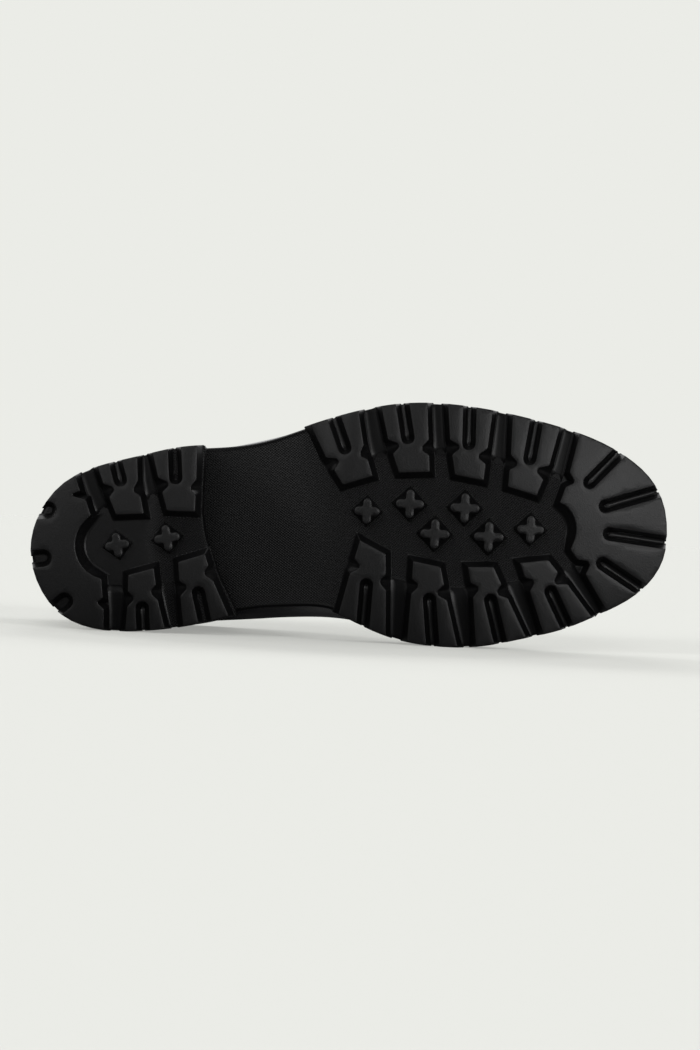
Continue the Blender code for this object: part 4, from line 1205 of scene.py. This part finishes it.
def leather_grain():
    """Group: fine pores and creases of leather as a height, and slow clouds of wear and polish."""
    inputs = {"Pores per metre": 900.0, "Clouds per metre": 22.0}
    tree, sockets, end = new_group("leather_grain", inputs, ("Height", "Clouds"))
    place = node(tree, "ShaderNodeTexCoord", {}, {}).outputs["Object"]
    cells = node(tree, "ShaderNodeTexVoronoi", {}, {"Vector": place, "Scale": sockets[0], "Randomness": 1.0})
    fine = noise(tree, place, sockets[0], 3.0)
    tree.links.new(maths(tree, "MULTIPLY_ADD", fine, 0.6, cells.outputs["Distance"]), end.inputs["Height"])
    tree.links.new(noise(tree, place, sockets[1], 5.0), end.inputs["Clouds"])
    return tree


def weave():
    """Group: threads crossing at right angles round the shaft, up and across, as a height."""
    tree, sockets, end = new_group("weave", {"Threads per metre": 1200.0}, ("Height",))
    place = node(tree, "ShaderNodeTexCoord", {}, {}).outputs["Object"]
    parts = node(tree, "ShaderNodeSeparateXYZ", {}, {0: place}).outputs
    full = maths(tree, "MULTIPLY", sockets[0], math.pi)
    across = maths(tree, "SINE", maths(tree, "MULTIPLY", maths(tree, "ADD", parts["X"], parts["Z"]), full))
    up = maths(tree, "SINE", maths(tree, "MULTIPLY", parts["Y"], full))
    tree.links.new(maths(tree, "ABSOLUTE", maths(tree, "ADD", across, up)), end.inputs["Height"])
    return tree


LEATHER_GRAIN = leather_grain()
WEAVE = weave()
POLISH_VARIES = 0.14    # how much rougher leather is in its clouds


def leather_material(name, dark, bright, roughness, depth, pores, **principled):
    """Grained leather: pores in the height, polish and colour varied by clouds."""
    tree, shader, material = new_material(name, **principled)
    grain = node(tree, "ShaderNodeGroup", {"node_tree": LEATHER_GRAIN}, {"Pores per metre": pores})
    roughen(tree, shader, grain.outputs["Height"], depth, 0.7)
    tree.links.new(blend_colours(tree, grain.outputs["Clouds"], dark, bright), shader.inputs["Base Color"])
    polish = maths(tree, "MULTIPLY_ADD", grain.outputs["Clouds"], POLISH_VARIES, roughness)
    tree.links.new(polish, shader.inputs["Roughness"])
    return material


CLOTH_PAINTED_HIGHLIGHT = 2.2     # how much lighter the threads are painted on top, a painted highlight on the weave


def cloth_material(name, colour, threads, depth, roughness):
    """Woven cloth: the weave in its height, and a painted highlight that makes the threads a little lighter
    on top.
    """
    tree, shader, material = new_material(name, Roughness=roughness, Sheen_Weight=0.15)
    cloth = node(tree, "ShaderNodeGroup", {"node_tree": WEAVE}, {"Threads per metre": threads})
    roughen(tree, shader, cloth.outputs["Height"], depth, 0.8)
    # Painted highlight: the raised threads are painted lighter.
    highlighted_threads = [CLOTH_PAINTED_HIGHLIGHT * part for part in colour[:3]] + [1]
    share = maths(tree, "MULTIPLY", cloth.outputs["Height"], 0.5)
    tree.links.new(blend_colours(tree, share, colour, highlighted_threads), shader.inputs["Base Color"])
    return material


# Roughness, depth of the grain in metres and pores per metre; for cloth: threads per metre, depth of
# the weave and roughness.
calf = (0.17, 0.00005, 850.0)
leather = leather_material("black_leather", LEATHER, LEATHER_BRIGHT, *calf, Coat_Weight=0.35)
lining = cloth_material("grey_lining", LINING, 900.0, 0.0002, 0.85)
thread = cloth_material("black_thread", THREAD, 2600.0, 0.0001, 0.6)
upper_front = piece_mesh("upper_front", front[0], front[1], slots=front[2])
upper_back = piece_mesh("upper_back", back[0], back[1], slots=back[2])
for piece in (upper_front, upper_back):
    piece.data.materials.append(leather)
    piece.data.materials.append(lining)
    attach(piece, "root")
    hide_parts("upper")

SEAM_STITCH = (3.1, 2.5, 0.75)          # pitch, length and thickness
STITCH_ROWS = (2.0, 4.4)                # in from the leather's edge
STITCH_UP = 0.05                        # middle of the thread above the leather
GORE_OPEN = 1.0         # the gore starts where its two edges are this far apart,
SEWN_FROM = 1.5         # and the seam's stitches this far above the welt
above_gore = every[crossings["medial", "front"] - crossings["medial", "back"] > GORE_OPEN]
above_welt = every[LEVELS > WELT + SEWN_FROM]
rows_of_thread = []
for side, way in (("medial", -1), ("lateral", 1)):
    for shift in STITCH_ROWS:
        rows_of_thread.append(sewn_row(above_welt, crossings[side, "back"], LAP + STITCH_UP, way * shift))
    rows_of_thread.append(sewn_row(above_gore, crossings[side, "front"], STITCH_UP, -way * STITCH_ROWS[0]))
sewn = join_solids([stitches(line, out, *SEAM_STITCH) for line, out in rows_of_thread])
upper_stitches = piece_mesh("upper_stitches", *sewn)
upper_stitches.data.materials.append(thread)
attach(upper_stitches, "root")

# A folded strip binds the collar: (out from the leather's face, up from its top), round the strip.
BINDING = [
    (0.0, -6.3), (0.55, -6.2), (0.8, -5.8), (0.85, -3.0), (0.75, -0.6), (0.35, 0.25), (-0.4, 0.75),
    (-1.1, 0.9), (-1.8, 0.75), (-2.55, 0.25), (-2.95, -0.6), (-3.05, -3.0), (-3.0, -5.8),
    (-2.75, -6.2), (-2.2, -6.3), (-2.15, -3.0), (-2.1, -0.2), (-0.1, -0.2), (-0.05, -3.0),
]
COLLAR_SLOPE = 6.0      # the binding stands as the shaft does over this much below the collar


def collar_binding():
    """The binding's profile carried round the collar, pressed flat where it would reach below the floor."""
    top, below = smooth(heights_of, rings, np.array([COLLAR, COLLAR - COLLAR_SLOPE]))
    up = unit(top - below)
    out = skin_out[-1]
    points = np.array([top + out * far + up * high for far, high in BINDING + BINDING[:1]])
    points[:, :, 1] = np.maximum(points[:, :, 1], LUG_BELOW)
    return points.reshape(-1, 3), tube_faces(len(points), len(top)).tolist()


binding = piece_mesh("collar_binding", *collar_binding())
binding.data.materials.append(leather)
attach(binding, "root")

# ---------------------------------------------------------------------------------------------
# GORES. Black elastic in each side of the shaft, woven with round ribs up and down. Its edges run on
# behind the leather's and are held by the thread along them.
# ---------------------------------------------------------------------------------------------

GORE_SUNK = 0.55
GORE_WALL = 1.3
RIB_PITCH = 1.35
RIB_DEPTH = 0.34
GORE_HIDDEN = 1.2       # runs this far behind the leather's edges


def gore(side):
    """One gore: the upper's surface sunk behind the leather, its face in round ribs."""
    rows = np.arange(above_gore[0] - 1, len(skin))
    first, last = crossings[side, "back"][rows], crossings[side, "front"][rows]
    if side == "lateral":
        first, last = last, first
    at = first[:, None] - GORE_HIDDEN + (last - first + 2 * GORE_HIDDEN)[:, None] * np.linspace(0, 1, 200)
    face, out = strip(rows, skin, at), unit(strip(rows, skin_out, at))
    ribs = RIB_DEPTH * np.abs(np.sin(math.pi * face[:, :, 0] / RIB_PITCH))
    sunk = GORE_SUNK + RIB_DEPTH - ribs
    return sheet_solid(face - out * sunk[:, :, None], face - out * (GORE_SUNK + GORE_WALL))[:2]


ELASTIC = (0.007, 0.007, 0.008, 1)
elastic = cloth_material("black_elastic", ELASTIC, 1500.0, 0.0001, 0.75)
for side in ("medial", "lateral"):
    panel_of_elastic = piece_mesh("gore_" + side + "_elastic", *gore(side))
    panel_of_elastic.data.materials.append(elastic)
    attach(panel_of_elastic, "root")
    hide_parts("gore_" + side)

# ---------------------------------------------------------------------------------------------
# WELT. A black strip of leather on the outsole's edge, round the foot of the upper. It is sewn down
# in a groove, but for the narrow stretches where the upper comes close to the sole's edge.
# ---------------------------------------------------------------------------------------------

WELT_BEHIND = 1.4       # the welt's edge stands this far behind the lugs' ends
WELT_SECTION = [
    (0.7, 0.0), (0.2, 0.12), (0.0, 0.5), (0.0, 2.9), (0.15, 3.3), (0.55, 3.58), (1.1, 3.6), (1.4, 3.55),
    (1.65, 3.3), (2.15, 3.3), (2.4, 3.55), (2.8, 3.6),
]
# Its inner edge, at the upper: back from the upper's foot, and up.
WELT_INNER = [(0.35, 3.6), (0.0, 3.4), (0.0, 0.3), (0.3, 0.0)]
WELT_LEAST = 0.4        # its least breadth
WELT_FULL = 3.2         # the section is narrowed where the welt is less broad than this,
WELT_KEPT = 0.9         # and its inner edge steps back by no more than the rest of its breadth
WELT_THREAD = (1.9, 3.45)       # in from the outer edge, and up
WELT_STITCH = (3.6, 3.0, 0.8)   # pitch, length and thickness
WELT_SEWN = 2.7         # the least breadth that is sewn,
WELT_POINTS = 8         # and a sewn stretch has more points of the welt's line than this


def welt_lines():
    """The welt's outer line, the way inward from it, and how far off the upper's foot is that way."""
    outer = closed_curve(OUTLINE, 900)
    run = unit(np.roll(outer, -1, 0) - np.roll(outer, 1, 0))
    inward = np.column_stack([-run[:, 1], run[:, 0]])
    outer = outer + inward * WELT_BEHIND
    foot = ring(FEATHER, -GAP)[:, :2]
    apart = np.linalg.norm(outer[:, None] - foot, axis=2)
    inner = foot[np.argmin(apart, axis=1)]
    wide = np.maximum(np.sum((inner - outer) * inward, axis=1), WELT_LEAST)
    return outer, inward, wide


def welt():
    """The section carried round the sole, narrowed where the upper comes close to the edge."""
    outer, inward, wide = welt_lines()
    tight = np.minimum(wide / WELT_FULL, 1)
    rows = []
    for far, up in WELT_SECTION:
        rows.append((outer + inward * (far * tight)[:, None], up))
    for back_off, up in WELT_INNER:
        rows.append((outer + inward * np.maximum(wide - back_off, WELT_KEPT * wide)[:, None], up))
    rows.append(rows[0])
    points = [np.column_stack([flat, UPPER_FLOOR + up + rise(flat[:, 0])]) for flat, up in rows]
    return np.array(points).reshape(-1, 3), tube_faces(len(rows), len(outer)).tolist()


def welt_stitches():
    """Thread in the welt's groove, where the welt is wide enough to be sewn."""
    outer, inward, wide = welt_lines()
    far, up = WELT_THREAD
    flat = outer + inward * far
    line = np.column_stack([flat, UPPER_FLOOR + up + rise(flat[:, 0])])
    sewn = np.where(wide > WELT_SEWN)[0]
    parts = np.split(sewn, np.where(np.diff(sewn) > 1)[0] + 1)
    upright = np.tile([0.0, 0.0, 1.0], (len(line), 1))
    long_enough = [part for part in parts if len(part) > WELT_POINTS]
    return join_solids([stitches(line[part], upright[part], *WELT_STITCH) for part in long_enough])


WELT_LEATHER = (0.006, 0.006, 0.0065, 1)
WELT_WORN = (0.011, 0.011, 0.012, 1)
welting = leather_material("black_welt", WELT_LEATHER, WELT_WORN, 0.34, 0.00006, 1300.0)
welt_strip = piece_mesh("welt_strip", *welt())
welt_strip.data.materials.append(welting)
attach(welt_strip, "root")
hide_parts("welt")
welt_thread = piece_mesh("welt_stitches", *welt_stitches())
welt_thread.data.materials.append(thread)
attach(welt_thread, "root")

# ---------------------------------------------------------------------------------------------
# INSOLE. A board covered with brown leather, cut to the foot of the upper and rounded at its top
# edge. It is bent to the sole and lies inside the boot.
# ---------------------------------------------------------------------------------------------

INSOLE_FLOOR = UPPER_FLOOR + WALL + GAP
INSOLE_IN = 0.5         # in from the upper's wall
# The edge's section: in from the edge, and up.
INSOLE_EDGE = [(1.0, 2.6), (0.35, 2.4), (0.05, 2.0), (0.0, 1.4), (0.0, 0.3), (0.3, 0.0)]


def insole_board():
    """The feather line moved in, stacked up with a rounded top edge, and bent to the sole."""
    insets, heights = np.array(INSOLE_EDGE).T
    outlines = np.array([ring(FEATHER, WALL + INSOLE_IN + inset)[::3, :2] for inset in insets])
    points, faces = solid_of(outlines, INSOLE_FLOOR + heights, 5.0, bent=True)
    points[:, 2] += rise(points[:, 0])
    return points, faces


INSOLE_LEATHER = (0.055, 0.040, 0.028, 1)
INSOLE_RUBBED = (0.095, 0.070, 0.050, 1)
insole_cover = leather_material("insole_leather", INSOLE_LEATHER, INSOLE_RUBBED, 0.5, 0.00008, 700.0)
insole = piece_mesh("insole_board", *insole_board())
insole.data.materials.append(insole_cover)
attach(insole, "root")
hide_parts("insole")

# ---------------------------------------------------------------------------------------------
# PULL LOOP. Woven tape over the back of the collar, with one leg outside and one inside. A sewn box
# with a cross holds both.
# ---------------------------------------------------------------------------------------------

TAPE_HALF = 8.0
TAPE = 1.5
COLLAR_HEIGHT = 168.0
# The tape's middle line: forward of the upper's back (outside is negative), and height.
LOOP_LINE = [
    (-1.75, 146.0), (-1.8, 154.0), (-1.95, 160.0), (-2.05, 166.0), (-2.55, 174.0), (-1.85, 180.5),
    (0.15, 183.0), (1.1, 183.25), (2.1, 183.0), (4.15, 180.5), (4.9, 174.0), (4.5, 167.0), (4.4, 160.0),
    (4.0, 154.0), (3.9, 146.0),
]
SEWN_BOX = ((-5.8, 5.8), (148.5, 158.0))        # aside, and height
THREAD_OUT = ([146, 160], [-2.53, -2.7])        # height, and how far forward the thread lies there
TAPE_STITCH = (1.9, 1.5, 0.55)  # pitch, length and thickness


def collar_back(aside, height):
    """Along measure of the upper's outside, this far aside from the middle of its back, at a height."""
    columns = np.array(RINGS).T
    back, forward, heel_half, heel_round = (np.interp(height, columns[1], columns[k]) for k in (0, 2, 4, 10))
    return back + (forward - back) * heel_round * (1 - np.sqrt(1 - (aside / heel_half) ** 2))


def tape_point(aside, forward, height):
    """Boot measures of a place on the tape."""
    along = collar_back(aside, np.minimum(height, COLLAR_HEIGHT - 1)) + forward
    return np.stack([along, leg_centre(along) + aside, height], axis=-1)


def pull_loop():
    """The tape's flat section, its edges rounded, carried along the loop's line."""
    run = run_along(LOOP_LINE)
    at = np.unique(np.concatenate([np.linspace(0, run[-1], 90), np.linspace(run[4], run[9], 50)]))
    middle = smooth(run, LOOP_LINE, at)
    way = unit(np.gradient(middle, axis=0))
    out = np.column_stack([-way[:, 1], way[:, 0]])
    bend = np.radians(np.linspace(-90, 90, 7))
    side = np.column_stack([TAPE_HALF - TAPE / 2 + TAPE / 2 * np.cos(bend), TAPE / 2 * np.sin(bend)])
    flat = np.column_stack([np.linspace(6, -6, 9), np.full(9, TAPE / 2)])
    section = np.vstack([side, flat, -side, -flat])
    forward = middle[:, None, 0] + out[:, None, 0] * section[None, :, 1]
    height = middle[:, None, 1] + out[:, None, 1] * section[None, :, 1]
    return capped_tube(tape_point(np.broadcast_to(section[:, 0], forward.shape), forward, height))


def tape_stitches():
    """A sewn box with a cross on the tape's outer leg."""
    (left, right), (low, high) = SEWN_BOX
    lines = [
        [(left, low), (left, high), (right, high), (right, low), (left, low)], [(left, low), (right, high)],
        [(right, low), (left, high)],
    ]
    solids = []
    for corners in lines:
        run = run_along(corners)
        aside, height = read_line(np.linspace(0, run[-1], 120), run, corners).T
        line = tape_point(aside, np.interp(height, *THREAD_OUT), height)
        solids.append(stitches(line, np.tile([-1.0, 0.0, 0.05], (len(line), 1)), *TAPE_STITCH))
    return join_solids(solids)


TAPE_BLACK = (0.009, 0.009, 0.010, 1)
tape = cloth_material("black_webbing", TAPE_BLACK, 1100.0, 0.0002, 0.7)
loop = piece_mesh("pull_loop_tape", *pull_loop())
loop.data.materials.append(tape)
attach(loop, "root")
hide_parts("pull_loop")
loop_thread = piece_mesh("pull_loop_stitches", *tape_stitches())
loop_thread.data.materials.append(thread)
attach(loop_thread, "root")

# ---------------------------------------------------------------------------------------------
# FLOOR, LIGHTS AND CAMERA. A pale floor with no visible end, broad soft studio lights round the boot,
# low soft suns for the floor, and a camera that looks square at the sole.
# ---------------------------------------------------------------------------------------------

PALE = (0.831, 0.839, 0.799, 1)
FLOOR_LIGHT = 2.13      # how much light reaches the open floor
FLOOR_GLOW = 0.38       # share of the floor's brightness that no shadow takes away
FLOOR_REFLECTED = (0.055, 0.055, 0.055, 1)
FLOOR_HALF = 30.0       # of its breadth, in metres


def floor_material():
    """Pale floor with the boot's soft shadows for the camera; what the boot reflects of it is dark."""
    tree, shader, material = new_material("pale_floor", Base_Color=FLOOR_REFLECTED, Specular_IOR_Level=0.0)
    shade = [part * (1 - FLOOR_GLOW) / FLOOR_LIGHT for part in PALE[:3]] + [1]
    matt = node(tree, "ShaderNodeBsdfDiffuse", {}, {"Color": shade})
    glow = node(tree, "ShaderNodeEmission", {}, {"Color": PALE, "Strength": FLOOR_GLOW})
    matt = node(tree, "ShaderNodeAddShader", {}, {0: matt.outputs[0], 1: glow.outputs[0]})
    seen = node(tree, "ShaderNodeLightPath", {}, {}).outputs["Is Camera Ray"]
    mixed = node(tree, "ShaderNodeMixShader", {}, {0: seen, 1: shader.outputs[0], 2: matt.outputs[0]})
    tree.links.new(mixed.outputs[0], tree.nodes["Material Output"].inputs["Surface"])
    return material


corners = FLOOR_HALF * np.array([(-1, -1, 0), (1, -1, 0), (1, 1, 0), (-1, 1, 0)])
floor_mesh = bpy.data.meshes.new("floor")
floor_mesh.from_pydata(corners.tolist(), [], [(0, 1, 2, 3)])
floor_mesh.materials.append(floor_material())
floor = bpy.data.objects.new("floor", floor_mesh)
bpy.context.scene.collection.objects.link(floor)

# Soft lights round the boot: degrees to the right of the camera's side, degrees up, the cosines of the
# angles where each fades out and where it is full, and its strength.
LIGHTS = [
    (-22, 26, 0.90, 0.985, 0.72), (-30, 5, 0.90, 0.985, 0.45), (-45, 30, 0.86, 0.97, 0.10),
    (20, 3, 0.95, 0.99, 1.70), (30, 3, 0.95, 0.99, 1.30), (0, 55, 0.85, 0.97, 0.50),
    (48, 4, 0.975, 0.995, 2.6), (125, 35, 0.88, 0.98, 0.7), (-125, 35, 0.90, 0.98, 0.7),
    (180, 30, 0.0, 0.9, 0.90),
]


def room_light():
    """Dark room with broad soft lights in it, and an even pale colour for the camera."""
    world = bpy.data.worlds.new("studio")
    world.use_nodes = True
    tree = world.node_tree
    tree.nodes.clear()
    way = node(tree, "ShaderNodeTexCoord", {}, {}).outputs["Generated"]
    strength = 0.0
    for aside, up, low, high, most in LIGHTS:
        aside, up = math.radians(aside), math.radians(up)
        centre = (math.sin(aside) * math.cos(up), -math.cos(aside) * math.cos(up), math.sin(up))
        near = dot_product(tree, way, centre)
        inputs = {"Value": near, "From Min": low, "From Max": high, "To Min": 0.0, "To Max": most}
        share = node(tree, "ShaderNodeMapRange", {"interpolation_type": "SMOOTHSTEP"}, inputs).outputs[0]
        strength = maths(tree, "ADD", strength, share)
    room = node(tree, "ShaderNodeBackground", {}, {"Color": (1, 1, 1, 1), "Strength": strength})
    even = node(tree, "ShaderNodeBackground", {}, {"Color": PALE, "Strength": 1.0})
    seen = node(tree, "ShaderNodeLightPath", {}, {}).outputs["Is Camera Ray"]
    mixed = node(tree, "ShaderNodeMixShader", {}, {0: seen, 1: room.outputs[0], 2: even.outputs[0]})
    node(tree, "ShaderNodeOutputWorld", {}, {"Surface": mixed.outputs[0]})
    return world


bpy.context.scene.world = room_light()

# Low soft suns before and behind the boot that light the floor only, and how they are turned aside.
FLOOR_SUNS = {0: (15, 14, 3.0), 180: (24, 14, 1.9)}    # degrees up, breadth in degrees, strength
SUN_TURNS = (-30, 0, 30)
floor_only = bpy.data.collections.new("floor_only")
floor_only.objects.link(floor)
for way, (up, breadth, watts) in FLOOR_SUNS.items():
    for turn in SUN_TURNS:
        sun = bpy.data.lights.new("floor_sun", "SUN")
        sun.angle = math.radians(breadth)
        sun.energy = watts
        sun_object = bpy.data.objects.new("floor_sun", sun)
        sun_object.rotation_euler = (math.radians(90 - up), 0, math.radians(way + turn))
        bpy.context.scene.collection.objects.link(sun_object)
        sun_object.light_linking.receiver_collection = floor_only

CAMERA_DISTANCE = 1.8   # in front of the lug tops
CAMERA_PLACE = (0.001, 0.0563)
CAMERA_ROLL = -2.75
VIEW_HEIGHT = 0.50274   # what the frame covers at the lug tops, top to bottom
SENSOR = 36.0

camera = bpy.data.cameras.new("camera")
camera.sensor_fit = "VERTICAL"
camera.sensor_height = SENSOR
camera.lens = SENSOR * CAMERA_DISTANCE / VIEW_HEIGHT
camera_object = bpy.data.objects.new("camera", camera)
camera_object.location = (CAMERA_PLACE[0], cad_low.y - CAMERA_DISTANCE, CAMERA_PLACE[1])
camera_object.rotation_euler = (math.radians(90), math.radians(CAMERA_ROLL), 0)
bpy.context.scene.collection.objects.link(camera_object)
bpy.context.scene.camera = camera_object
bpy.context.scene.view_settings.view_transform = "Standard"
